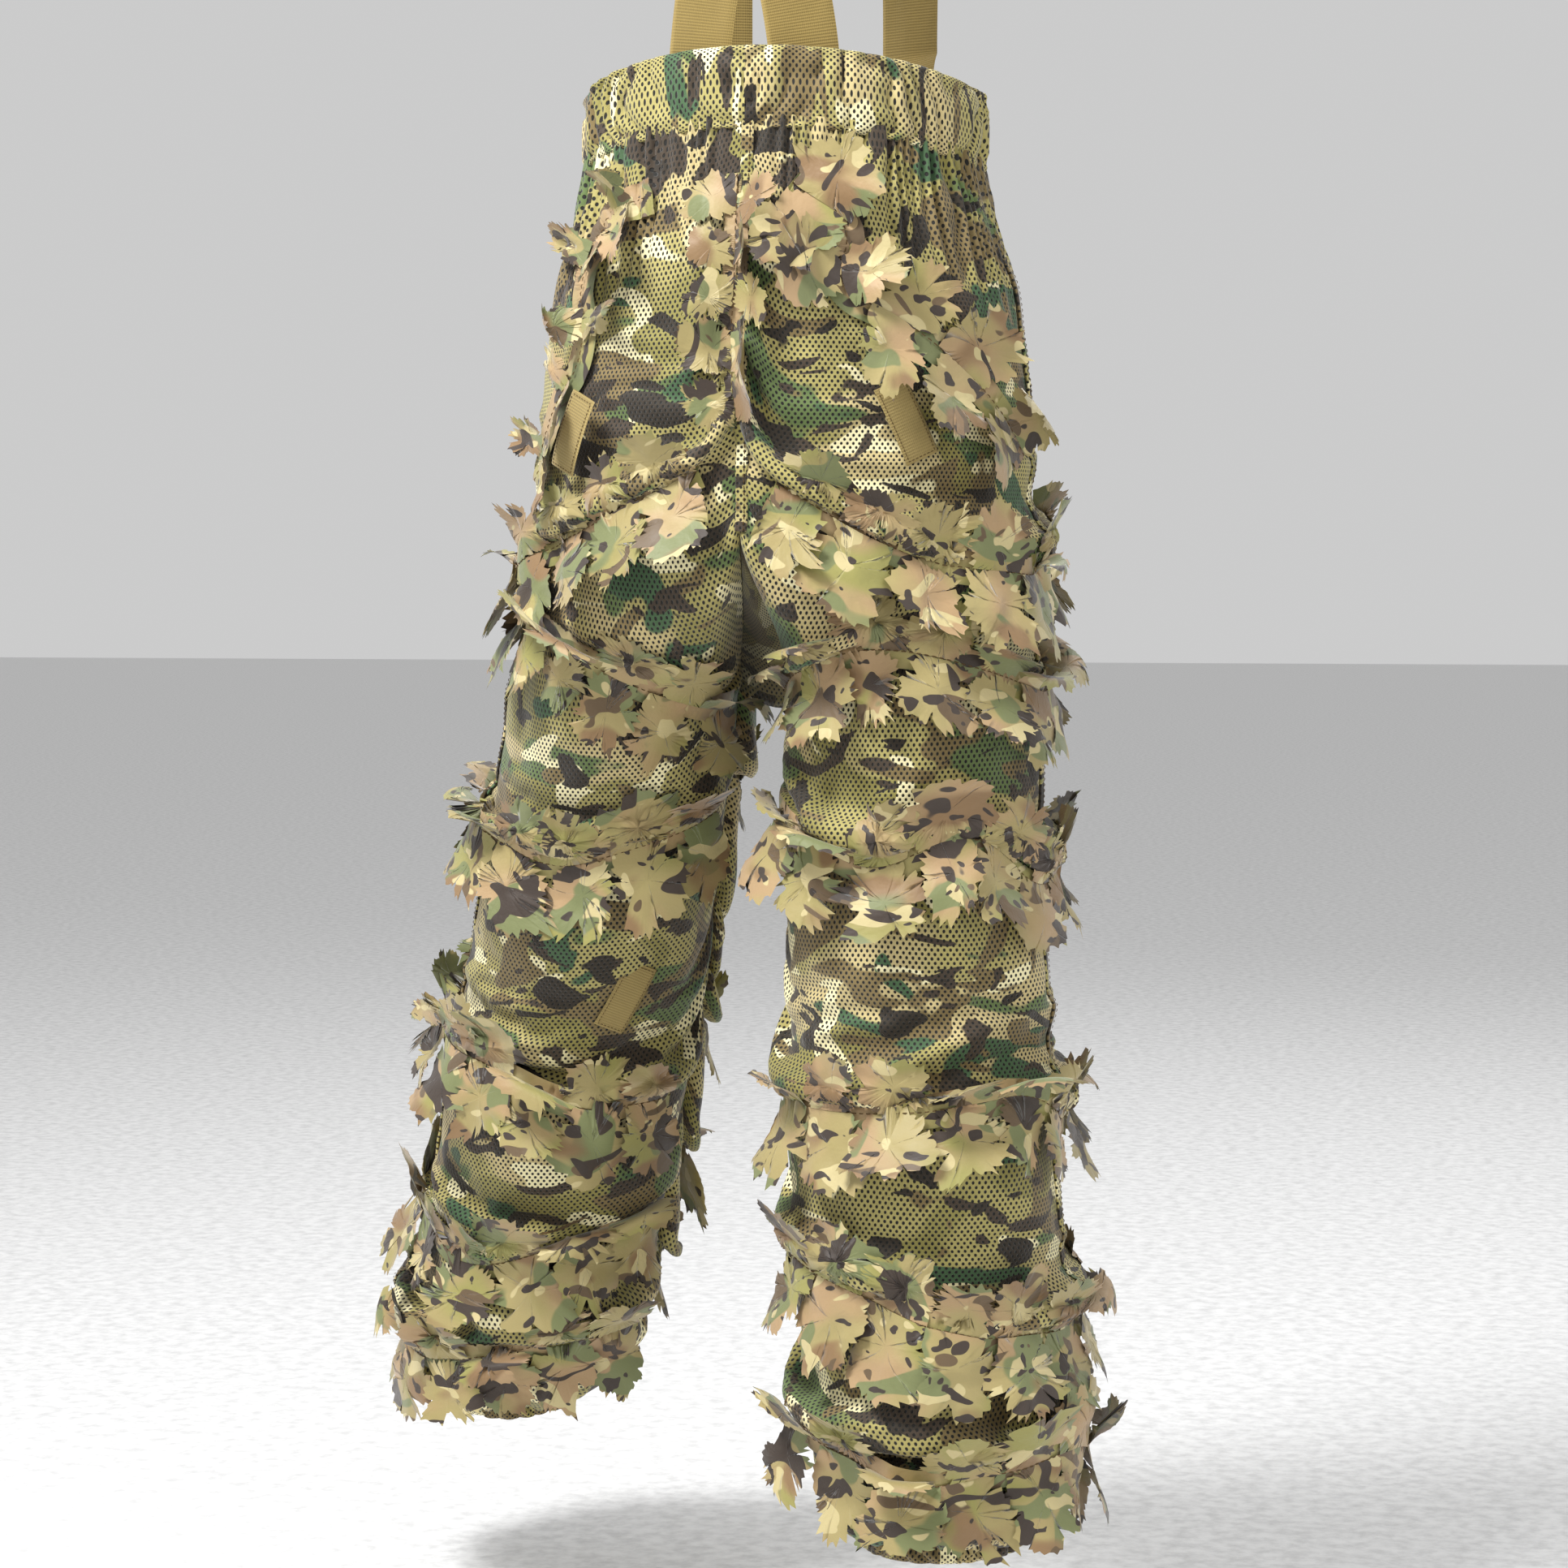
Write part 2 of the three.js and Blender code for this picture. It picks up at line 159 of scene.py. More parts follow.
def resample(points, shape):
    """A grid of points on a finer grid, by cubic interpolation."""

    def weights(n, m):
        at = np.linspace(0, n - 1, m)
        base = np.minimum(at.astype(int), n - 2)
        t = at - base
        cubic = [-t / 2 + t**2 - t**3 / 2, 1 - 2.5 * t**2 + 1.5 * t**3, t / 2 + 2 * t**2 - 1.5 * t**3, (t**3 - t**2) / 2]
        out = np.zeros((m, n))
        for k, w in zip((-1, 0, 1, 2), cubic):
            np.add.at(out, (np.arange(m), np.clip(base + k, 0, n - 1)), w)
        return out

    a, b = weights(points.shape[0], shape[0]), weights(points.shape[1], shape[1])
    return np.einsum("ai,ijk,bj->abk", a, points, b, optimize=True)


# ---- Shape of the worn trousers ----


def hip_surface(sign, angle, h):
    """Angle 0 is the centre back and pi the centre front; h is the depth below the waist."""
    rise = (0.024 * np.maximum(0, np.cos(angle)) ** 1.5 - 0.012) * (1 - ramp(h, 0.02, 0.20))
    x = sign * hip_width(h) * np.sin(angle)
    return np.stack([x, -hip_depth(h) * np.cos(angle), rise - h], -1)


def leg_surface(sign, angle, s):
    """Angle 0 is the inseam, a quarter turn the back and half a turn the outer side."""
    out, drop = (math.sin(STEP_SIDE), math.cos(STEP_SIDE)) if sign < 0 else (0, 1)
    x = sign * (leg_centre(s) + out * s - leg_width(s) * np.cos(angle))
    y, z = -leg_depth(s) * np.sin(angle), -s * drop + 0 * angle
    turn = STEP_FORWARD if sign < 0 else 0
    c, k = math.cos(turn), math.sin(turn)
    return np.stack([x, y * c - z * k, HIP_Z + y * k + z * c], -1)


def half_surface(sign, angle, h):
    """One half of the trousers: round the leg and down from the waist."""
    angle, h = np.broadcast_arrays(np.asarray(angle, float), np.asarray(h, float))
    t = ramp(h, 0.30, 0.42)[..., None]
    hips, leg = hip_surface(sign, angle / 2, h), leg_surface(sign, angle, h + HIP_Z)
    return hips * (1 - t) + leg * t


def smooth_table(at, values, width):
    """A table as a smooth function."""
    fine = np.linspace(at[0], at[-1], 500)
    half = int(width * 500)
    padded = np.pad(np.interp(fine, at, values), half, mode="edge")
    return fine, np.convolve(padded, np.ones(2 * half + 1) / (2 * half + 1), "valid")


def row_depth(side, name, angle):
    """Depth of a row of leaves below the waist, round the leg."""
    return np.interp(angle, *smooth_table(*np.array(ROWS[side][name]).T, 0.045))


# ---- Drape: the cloth has more length than the body under it, and folds as it hangs ----


def drape(sign):
    angle = np.linspace(0, TURN, COARSE[0])[:, None]
    h = np.linspace(TOP, HEM, COARSE[1])[None, :]
    base = half_surface(sign, angle, h)
    outward = grid_normals(base) * -sign
    u, v = angle / TURN * CUT_WIDTH, h
    step = 0.45 if sign < 0 else 0.2
    slack_down = 1.035 + 0.05 * ramp(h, 0.30, 0.45) + step * ramp(h, 0.86, 0.93) * (1 - ramp(h, 0.99, 1.01))
    slack_round = 1.065 + 0.035 * noise(u / 0.2, v / 0.2, 3) + 0 * h
    lean = u + 0.8 * v * np.sin(v / 0.13 + sign)
    start = 0.005 + 0.012 * np.abs(noise(lean / 0.10, v / 0.045, 5 + sign)) + 0.007 * noise(lean / 0.045, v / 0.14, 9 + sign)
    lock = np.zeros(base.shape[:2])
    side = "left" if sign < 0 else "right"
    for name in ROWS[side]:
        lock = np.maximum(lock, np.exp(-(((h - row_depth(side, name, angle)) / 0.011) ** 2)) * 0.3)
    lock[[0, -1], :] = 1
    lock[:, [0, -1]] = 1
    held = base + outward * ((0.006 + 0.005 * noise(u / 0.07, v / 0.1, 14 + sign)) * (lock < 1))[..., None]
    points = base + outward * (start * (1 - lock))[..., None]
    springs = make_springs(base, slack_round, slack_down)
    for _ in range(260):
        points[..., 2] -= 0.00035 * (lock < 1)
        for _ in range(2):
            relax(points, springs)
        pull = (held - points) * np.where(lock >= 1, 1, lock * 0.35)[..., None]
        proud = (pull * outward).sum(-1, keepdims=True)
        points += pull - outward * proud * np.where(lock >= 1, 0, 0.8)[..., None]
        offset = points - base
        height = (offset * outward).sum(-1)
        offset += outward * (np.clip(height, -0.001, 0.026) - height)[..., None]
        long = np.linalg.norm(offset, axis=-1, keepdims=True)
        points = base + offset * np.minimum(1, 0.034 / np.maximum(long, 1e-9))
    return points, base, outward


def make_springs(base, slack_round, slack_down):
    """Pairs of grid shifts with their rest lengths and stiffness."""
    made = []
    for di, dj, stiff in [(1, 0, 0.9), (0, 1, 0.9), (1, 1, 0.25), (1, -1, 0.25), (2, 0, 0.12), (0, 2, 0.12), (4, 0, 0.05), (0, 4, 0.05)]:
        first, second = pair(base, di, dj)
        rest = np.linalg.norm(first - second, axis=-1)
        wide = pair(np.broadcast_to(slack_round, base.shape[:2])[..., None], di, dj)[0][..., 0]
        tall = pair(np.broadcast_to(slack_down, base.shape[:2])[..., None], di, dj)[0][..., 0]
        share = abs(di) / (abs(di) + abs(dj))
        made.append((di, dj, rest * (wide * share + tall * (1 - share)), stiff))
    return made


def pair(points, di, dj):
    n, m = points.shape[:2]
    low, high = (slice(0, m - dj), slice(dj, m)) if dj >= 0 else (slice(-dj, m), slice(0, m + dj))
    return points[: n - di, low], points[di:, high]


def relax(points, springs):
    """Moves every pair of points towards its rest length, all pairs at once."""
    for di, dj, rest, stiff in springs:
        first, second = pair(points, di, dj)
        gap = second - first
        length = np.linalg.norm(gap, axis=-1)
        move = gap * (stiff * 0.25 * (length - rest) / np.maximum(length, 1e-9))[..., None]
        shift = np.zeros_like(points)
        a, b = pair(shift, di, dj)
        a += move
        b -= move
        points += shift


class Half:
    """The draped cloth of one half, as a fine grid that trims can be laid on."""

    def __init__(self, name):
        self.name, self.sign = name, SIDES[name]
        points, base, outward = drape(self.sign)
        self.angle = np.linspace(0, TURN, FINE[0])
        self.h = np.linspace(TOP, HEM, FINE[1])
        self.points = resample(points, FINE)
        base, outward = resample(base, FINE), unit(resample(outward, FINE))
        self.normals = grid_normals(self.points) * -self.sign
        self.points += self.normals * self.gathers()[..., None]
        self.points[[0, -1]] = half_surface(self.sign, np.array([[0], [TURN]]), self.h[None, :])
        self.normals = grid_normals(self.points) * -self.sign
        self.outward = outward
        self.base = base

    def gathers(self):
        """Small folds too fine for the drape: at the waist, at the hem and all over."""
        u, h = self.angle[:, None] / TURN * CUT_WIDTH, self.h[None, :]
        edge = np.sin(self.angle / 2)[:, None] ** 0.25
        wave = u / 0.0145 + 0.7 * noise(u / 0.03, h / 0.05, 21)
        waist = 0.0048 * (1 - ramp(h, 0.03, 0.13)) * (0.6 + 0.4 * noise(u / 0.02, 0 * h, 22)) * np.sin(TURN * wave)
        wave = u / 0.022 + 0.8 * noise(u / 0.05, h / 0.04, 23)
        hem = 0.0035 * ramp(h, 0.93, 1.0) * (0.6 + 0.4 * noise(u / 0.03, h / 0.03, 24)) * np.sin(TURN * wave)
        small = 0.0012 * noise(u / 0.025 + 0.6 * h / 0.05, h / 0.03, 25 + self.sign, 3)
        return (waist + hem + small) * edge

    def at(self, angle, h, grid=None):
        """Point and outward direction on the cloth."""
        grid = self.points if grid is None else grid
        x = np.clip(np.asarray(angle) / TURN, 0, 1) * (FINE[0] - 1)
        y = np.clip((np.asarray(h) - TOP) / (HEM - TOP), 0, 1) * (FINE[1] - 1)
        i, j = np.minimum(x.astype(int), FINE[0] - 2), np.minimum(y.astype(int), FINE[1] - 2)
        fx, fy = (x - i)[..., None], (y - j)[..., None]
        top = grid[i, j] * (1 - fx) + grid[i + 1, j] * fx
        low = grid[i, j + 1] * (1 - fx) + grid[i + 1, j + 1] * fx
        return top * (1 - fy) + low * fy


# ---- Meshes ----


def mesh_object(name, points, faces, uv, material, smooth=True):
    mesh = bpy.data.meshes.new(name)
    mesh.from_pydata(np.asarray(points, float).tolist(), [], np.asarray(faces).tolist() if len(faces) else [])
    mesh.update()
    layer = mesh.uv_layers.new(name="UVMap")
    loops = np.zeros(len(mesh.loops), dtype=np.int32)
    mesh.loops.foreach_get("vertex_index", loops)
    layer.data.foreach_set("uv", np.asarray(uv, np.float32)[loops].ravel())
    mesh.polygons.foreach_set("use_smooth", [smooth] * len(mesh.polygons))
    made = bpy.data.objects.new(name, mesh)
    bpy.context.collection.objects.link(made)
    mesh.materials.append(material)
    return made


def grid_faces(n, m, offset=0, flip=False):
    i, j = np.meshgrid(np.arange(n - 1), np.arange(m - 1), indexing="ij")
    a = (offset + i * m + j).ravel()
    quads = np.stack([a, a + m, a + m + 1, a + 1], -1)
    return quads[:, ::-1] if flip else quads


def grid_object(name, points, uv, material, flip=False):
    n, m = points.shape[:2]
    return mesh_object(name, points.reshape(-1, 3), grid_faces(n, m, 0, flip), uv.reshape(-1, 2), material)


def join_parts(parts):
    """Points, faces and uv of several parts as one mesh."""
    points, faces, uv, count = [], [], [], 0
    for p, f, t in parts:
        points.append(p)
        faces.append(np.asarray(f) + count)
        uv.append(t)
        count += len(p)
    return np.concatenate(points), np.concatenate(faces), np.concatenate(uv)


# ---- Materials ----


class Shader:
    """A node material built from short calls."""

    def __init__(self, name):
        self.material = bpy.data.materials.new(name)
        self.material.use_nodes = True
        self.nodes, self.links = self.material.node_tree.nodes, self.material.node_tree.links
        self.bsdf = self.nodes["Principled BSDF"]

    def put(self, target, value):
        if isinstance(value, bpy.types.NodeSocket):
            self.links.new(value, target)
        elif isinstance(value, tuple) and len(value) == 3 and len(target.default_value) == 4:
            target.default_value = (*value, 1)
        else:
            target.default_value = value

    def math(self, kind, a, b=0.0, c=0.0, clamp=False):
        node = self.nodes.new("ShaderNodeMath")
        node.operation, node.use_clamp = kind, clamp
        for socket, value in zip(node.inputs, (a, b, c)):
            self.put(socket, value)
        return node.outputs[0]

    def vector(self, kind, a, b=(0.0, 0.0, 0.0)):
        node = self.nodes.new("ShaderNodeVectorMath")
        node.operation = kind
        self.put(node.inputs[0], a)
        self.put(node.inputs[1], b)
        return node.outputs["Value" if kind in ("LENGTH", "DISTANCE", "DOT_PRODUCT") else "Vector"]

    def uv(self, scale=(1, 1), shift=(0, 0)):
        node = self.nodes.new("ShaderNodeMapping")
        texture = self.nodes.new("ShaderNodeUVMap")
        self.links.new(texture.outputs[0], node.inputs["Vector"])
        node.inputs["Location"].default_value = (*shift, 0)
        node.inputs["Scale"].default_value = (*scale, 1)
        return node.outputs[0]

    def noise(self, at, scale=1.0, detail=2.0, rough=0.5, twist=0.0):
        node = self.nodes.new("ShaderNodeTexNoise")
        self.put(node.inputs["Vector"], at)
        for key, value in (("Scale", scale), ("Detail", detail), ("Roughness", rough), ("Distortion", twist)):
            node.inputs[key].default_value = value
        return node.outputs["Fac"]

    def step(self, value, low, high):
        node = self.nodes.new("ShaderNodeMapRange")
        node.interpolation_type = "SMOOTHSTEP"
        self.put(node.inputs["Value"], value)
        node.inputs["From Min"].default_value = low
        node.inputs["From Max"].default_value = high
        return node.outputs["Result"]

    def mix(self, fac, a, b):
        node = self.nodes.new("ShaderNodeMix")
        node.data_type = "RGBA"
        self.put(node.inputs[0], fac)
        self.put(node.inputs[6], a)
        self.put(node.inputs[7], b)
        return node.outputs[2]

    def bump(self, height, distance, strength=1.0, below=None):
        node = self.nodes.new("ShaderNodeBump")
        self.put(node.inputs["Height"], height)
        node.inputs["Distance"].default_value = distance
        node.inputs["Strength"].default_value = strength
        if below is not None:
            self.links.new(below, node.inputs["Normal"])
        return node.outputs[0]

    def finish(self, color, normal, rough=0.8, sheen=0.0, specular=0.3):
        self.put(self.bsdf.inputs["Base Color"], color)
        self.put(self.bsdf.inputs["Roughness"], rough)
        if normal is not None:
            self.links.new(normal, self.bsdf.inputs["Normal"])
        self.bsdf.inputs["Sheen Weight"].default_value = sheen
        self.bsdf.inputs["Specular IOR Level"].default_value = specular
        return self.material


def srgb(r, g, b):
    return tuple((v / 255 / 12.92) if v <= 10 else ((v / 255 + 0.055) / 1.055) ** 2.4 for v in (r, g, b))


def camo(s, at, plan, grain, tint=(1.06, 1.06, 0.84)):
    """Printed camouflage: soft grounds, then blots with crisp edges. plan lists, for each, its
    cells per metre across and down, a place, the share left bare, the edge's softness and the colour."""
    color = s.mix(s.noise(s.vector("MULTIPLY", at, (5.0, 9.0, 1.0)), 1.0, 2.0), *plan["ground"])
    for across, down, place, low, soft, twist, paint in plan["blots"]:
        spot = s.vector("ADD", s.vector("MULTIPLY", at, (across, down, 1.0)), (place, place * 0.7, 0.0))
        cover = s.step(s.noise(spot, 1.0, 1.5, 0.45, twist), low, low + soft)
        color = s.mix(cover, color, paint)
    fine = s.noise(s.vector("MULTIPLY", at, (900.0, 900.0, 1.0)), 1.0, 2.0)
    color = s.mix(s.math("MULTIPLY", fine, grain), color, srgb(70, 62, 40))
    return s.vector("MULTIPLY", color, tint)


MESH_PRINT = {
    "ground": (srgb(190, 178, 128), srgb(160, 150, 94)),
    "blots": [
        (7, 13, 3.1, 0.52, 0.10, 0.5, srgb(202, 184, 146)),
        (8, 15, 17.7, 0.53, 0.09, 0.6, srgb(146, 138, 84)),
        (9, 17, 31.3, 0.585, 0.03, 0.7, srgb(98, 118, 76)),
        (10, 19, 47.9, 0.61, 0.02, 0.8, srgb(66, 98, 72)),
        (12, 25, 63.2, 0.595, 0.02, 1.0, srgb(246, 236, 208)),
        (11, 22, 88.4, 0.585, 0.02, 1.0, srgb(128, 110, 78)),
        (15, 35, 71.5, 0.61, 0.015, 1.2, srgb(66, 54, 48)),
        (16, 36, 97.1, 0.62, 0.012, 1.0, srgb(46, 38, 34)),
    ],
}
LEAF_PRINT = {
    "ground": (srgb(188, 174, 126), srgb(166, 150, 96)),
    "blots": [
        (14, 16, 2.3, 0.46, 0.16, 0.3, srgb(186, 156, 120)),
        (15, 17, 19.7, 0.52, 0.14, 0.3, srgb(162, 158, 92)),
        (18, 21, 37.1, 0.58, 0.02, 0.4, srgb(128, 136, 92)),
        (17, 20, 52.9, 0.57, 0.08, 0.3, srgb(148, 118, 84)),
        (36, 42, 75.7, 0.62, 0.014, 0.4, srgb(214, 200, 154)),
        (26, 34, 91.3, 0.64, 0.010, 0.7, srgb(106, 86, 62)),
        (25, 33, 63.9, 0.62, 0.008, 1.1, srgb(62, 49, 42)),
        (52, 64, 33.9, 0.65, 0.008, 0.3, srgb(58, 46, 40)),
    ],
}


def mesh_material(name, tint=None):
    """Knitted mesh: staggered rows of small holes, 4.8 mm by 5.7 mm a repeat, over the print. The holes are painted
    near-black, as painted shade of the inside seen through them.
    """
    s = Shader(name)
    at = s.uv()
    color = camo(s, at, MESH_PRINT, 0.2)
    if tint:
        # A given tint is mixed in at 0.65; the gusset's dark tint is painted shade between the legs.
        color = s.mix(0.65, color, tint)
    cell = s.uv((1 / 0.0048, 1 / 0.0057))
    spans = []
    for shift in ((0.0, 0.0, 0.0), (0.5, 0.5, 0.0)):
        local = s.vector("SUBTRACT", s.vector("FRACTION", s.vector("ADD", cell, shift)), (0.5, 0.5, 0.0))
        spans.append(s.vector("LENGTH", s.vector("MULTIPLY", local, (4.8, 5.7, 0.0))))
    near = s.math("MINIMUM", *spans)
    worn = s.noise(s.vector("MULTIPLY", at, (60.0, 60.0, 1.0)), 1.0, 2.0)
    thread = s.step(s.math("ADD", near, s.math("MULTIPLY", worn, 0.3)), 1.02, 1.42)
    # Painted shade: the holes get a near-black colour that stands in for the shaded inside seen through them.
    color = s.mix(thread, srgb(17, 15, 9), color)
    height = s.bump(thread, 0.0006, 0.8)
    weave = s.noise(s.vector("MULTIPLY", at, (2600.0, 1500.0, 1.0)), 1.0, 1.0)
    rough = s.math("ADD", 0.62, s.math("MULTIPLY", worn, 0.2))
    return s.finish(color, s.bump(weave, 0.0002, 0.5, height), rough, 0.25, 0.35)


def leaf_material(name):
    """Smooth satin cloth with a soft print and cut edges."""
    s = Shader(name)
    at = s.uv()
    color = camo(s, at, LEAF_PRINT, 0.08, (0.86, 0.84, 0.74))
    weave = s.noise(s.vector("MULTIPLY", at, (1600.0, 3200.0, 1.0)), 1.0, 1.0)
    soft = s.noise(s.vector("MULTIPLY", at, (70.0, 70.0, 1.0)), 1.0, 3.0, 0.6)
    normal = s.bump(weave, 0.00015, 0.5, s.bump(soft, 0.0018, 0.5))
    rough = s.math("ADD", 0.42, s.math("MULTIPLY", soft, 0.25))
    return s.finish(color, normal, rough, 0.3, 0.45)


def webbing_material(name, color, along=900.0):
    """Woven tape: ribs across, a herringbone of warp threads, and dust. The weave's grooves are darkened as painted
    shade.
    """
    s = Shader(name)
    ribs = s.math("SINE", s.math("MULTIPLY", split(s, s.uv())[1], TURN / 0.0021))
    warp = s.math("SINE", s.math("MULTIPLY", split(s, s.uv())[0], TURN / 0.0014))
    weave = s.math("ADD", s.math("MULTIPLY", ribs, 0.6), s.math("MULTIPLY", warp, 0.4))
    dust = s.noise(s.uv((along / 12, along / 12)), 1.0, 3.0, 0.6)
    tone = s.mix(s.math("MULTIPLY", s.step(dust, 0.35, 0.75), 0.5), color, tuple(c * 0.86 for c in color))
    # Painted shade: the colour darkens to 0.78 of itself in the low grooves of the weave.
    tone = s.mix(s.step(weave, 0.2, -0.9), tone, tuple(c * 0.78 for c in color))
    return s.finish(tone, s.bump(weave, 0.00025, 0.6), 0.86, 0.3, 0.2)


def split(s, at):
    node = s.nodes.new("ShaderNodeSeparateXYZ")
    s.links.new(at, node.inputs[0])
    return node.outputs


def plain_material(name, color, rough, detail=400.0, depth=0.0002, sheen=0.0):
    s = Shader(name)
    place = s.nodes.new("ShaderNodeTexCoord").outputs["Object"]
    grain = s.noise(place, detail, 3.0, 0.6)
    tone = s.mix(s.step(grain, 0.3, 0.8), color, tuple(c * 0.75 for c in color))
    return s.finish(tone, s.bump(grain, depth, 0.6), rough, sheen)


MESH = mesh_material("mesh cloth")
# The gusset's dark tint is painted shade between the legs.
PAINTED_SHADE_GUSSET = mesh_material("gusset cloth with painted shade", srgb(50, 43, 27))
LEAF = leaf_material("leaf cloth")
WEBBING = webbing_material("tan webbing", srgb(143, 122, 68))
TAB = webbing_material("loop webbing", srgb(160, 140, 88))
PLASTIC = plain_material("nylon", srgb(92, 80, 54), 0.5)
THREAD = plain_material("brown thread", srgb(96, 74, 44), 0.8, 2500.0)
PALE_THREAD = plain_material("tan thread", srgb(206, 186, 128), 0.8, 2500.0)

# ---- Cloth pieces ----


def follow(made, region):
    """A waist piece is parented to the waist's empty; any other piece has its transform baked into its mesh."""
    if region == "waist":
        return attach(made, "waist")
    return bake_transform(made)


def cloth_pieces(half):
    cut = int(np.searchsorted(half.h, SPLIT))
    uv = np.stack(np.broadcast_arrays(half.angle[:, None] / TURN * CUT_WIDTH, -half.h[None, :]), -1)
    for part, rows, region in (("upper", slice(0, cut + 1), "hip"), ("lower", slice(cut, None), "knee")):
        made = grid_object(f"cloth_{part}_{half.name}", half.points[:, rows], uv[:, rows] + 3 * half.sign, MESH, half.sign > 0)
        follow(made, region)
        if part == "upper":
            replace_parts(made, *(f"{n}_{half.name}" for n in ("seat_panel", "front_panel", "thigh_back", "thigh_front")))
        else:
            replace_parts(made, f"calf_back_{half.name}", f"calf_front_{half.name}")


def gusset(halves):
    """The U of gusset cloth between the halves' crotch edges, its print darkened as painted shade between the legs."""
    down = np.linspace(0.300, 0.430, 30)
    path = np.concatenate([down, down[::-1][1:]])
    front = np.concatenate([np.zeros(30), np.full(29, TURN)])
    left, right = (half_surface(SIDES[n], front, path) for n in ("left", "right"))
    across = np.linspace(0, 1, 9)[:, None, None]
    points = left[None] * (1 - across) + right[None] * across
    sag = np.sin(math.pi * across[..., 0]) * 0.006
    points[..., 2] -= sag * ramp(path, 0.31, 0.36)[None]
    inward = np.sign(points[..., 1]) * 0.0015
    points[..., 1] -= inward
    run = np.concatenate([[0], np.cumsum(np.linalg.norm(np.diff(points[4], axis=0), axis=1))])
    uv = np.stack(np.broadcast_arrays(across[..., 0] * 0.06, run[None]), -1)
    made = grid_object("gusset_cloth", points, uv, PAINTED_SHADE_GUSSET, True)
    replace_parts(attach(made, "waist"), "crotch_gusset")


halves = {name: Half(name) for name in SIDES}
for half in halves.values():
    cloth_pieces(half)
gusset(halves)

# ---- Leaf strips ----

LEAF_COUNT = (112, 5)
LEAF_PITCH = 0.053


def leaf_outline(draw):
    """A jagged tongue about its middle: deep notches part it into fingers, and every edge has teeth."""
    count = LEAF_COUNT[0]
    turn = np.linspace(-math.pi / 2, 1.5 * math.pi, count, endpoint=False)
    radius = 0.0320 * draw.uniform(0.84, 1.18) * (1 + 0.06 * np.sin(2 * turn + draw.uniform(0, 6)))
    radius = radius * (1 + 0.10 * np.maximum(0, np.sin(turn)))
    cut = np.ones(count)
    for at in np.linspace(-0.5, math.pi + 0.5, draw.integers(5, 8)) + draw.uniform(-0.22, 0.22):
        width, depth = draw.uniform(0.08, 0.20), draw.uniform(0.18, 0.50)
        cut *= 1 - depth * np.exp(-np.abs((turn - at - draw.uniform(-0.15, 0.15)) / width) ** 1.3)
    radius = radius * np.maximum(cut, 0.5)
    phase = (np.arange(count) / draw.choice([3.0, 3.5, 4.0]) + draw.uniform(0, 1)) % 1
    radius = radius + (0.0090 * (1 - phase) ** 1.5 - 0.0032) * draw.uniform(0.1, 1.25, count)
    x, y = radius * np.cos(turn), radius * np.sin(turn)
    place = draw.uniform(0, 60)
    x, y = x + 0.006 * noise(x / 0.022 + place, y / 0.022, 41), y + 0.006 * noise(x / 0.022, y / 0.022 + place, 42)
    return x + draw.uniform(-0.3, 0.3) * y, y


def leaf_grid(draw, low=0.026):
    """Flat points of a leaf whose root is the line y = 0, as wide as the leaves' pitch."""
    x, y = leaf_outline(draw)
    reach = np.linspace(0, 1, LEAF_COUNT[1] + 1)[1:] ** 0.9
    radius = np.hypot(x, y)
    core = 0.95 * radius.min() / radius[:, None]
    scale = reach * (core * (1 - reach**2) + reach**2)
    xs, ys = x[:, None] * scale, y[:, None] * scale + low
    close = np.clip(1.25 - ys / 0.020, 0, 1)
    half = LEAF_PITCH / 2 + 0.001
    wide = half * np.clip(xs / (0.026 * reach[None, :]), -1, 1) * reach[None, :]
    xs = xs * (1 - close) + wide * close
    ys = np.maximum(ys, 0.0)
    return np.append(xs.ravel(), 0.0), np.append(ys.ravel(), low)


def leaf_faces():
    n, m = LEAF_COUNT
    centre, faces = n * m, []
    for i in range(n):
        k = (i + 1) % n
        faces.append((centre, i * m, k * m, k * m))
        faces += [(i * m + j, i * m + j + 1, k * m + j + 1, k * m + j) for j in range(m - 1)]
    return faces


LEAF_FACES = leaf_faces()


def fan_faces(flip):
    """Triangles at the middle and quads outside it, as two lists in one."""
    faces = [tuple(dict.fromkeys(f)) for f in LEAF_FACES]
    return [f[::-1] for f in faces] if flip else faces


def leaf(place, side, draw, up, size):
    """One leaf on the strip: place(x) gives its root line, its outward and its sideways directions."""
    x, y = leaf_grid(draw)
    x, y = x * size, y * size * (0.86 if up else 1.08)
    root, normal, away = place(x)
    away = away * side
    flop = up and draw.uniform() < 0.35
    tilt = draw.uniform(0.45, 0.75) if flop else draw.uniform(0.03, 0.32) if up else draw.uniform(0.05, 0.42)
    curl = draw.uniform(1.2, 2.2) if flop else draw.uniform(-0.2, 0.8)
    tilt = tilt + draw.uniform(-7, 7) * x
    bend = tilt + curl * y / 0.05
    out = y * np.sin((tilt + bend) / 2)
    run = y * np.cos((tilt + bend) / 2)
    edge = np.clip(y / 0.03, 0, 1)
    out += draw.uniform(-9, 11) * x**2 * edge
    out += 0.0042 * noise(x / 0.024 + draw.uniform(0, 50), y / 0.024, 40) * edge + draw.uniform(0, 0.0025)
    out = 0.033 * np.tanh(out / 0.033)
    points = root + normal * (0.0016 + out)[:, None] + away * run[:, None]
    if not up:
        points[:, 2] -= 0.1 * np.clip(y, 0, None) * np.clip(out / 0.03, 0, 1)
    uv = np.stack([x, y * side], -1) + draw.uniform(-8, 8, 2)
    return points, uv


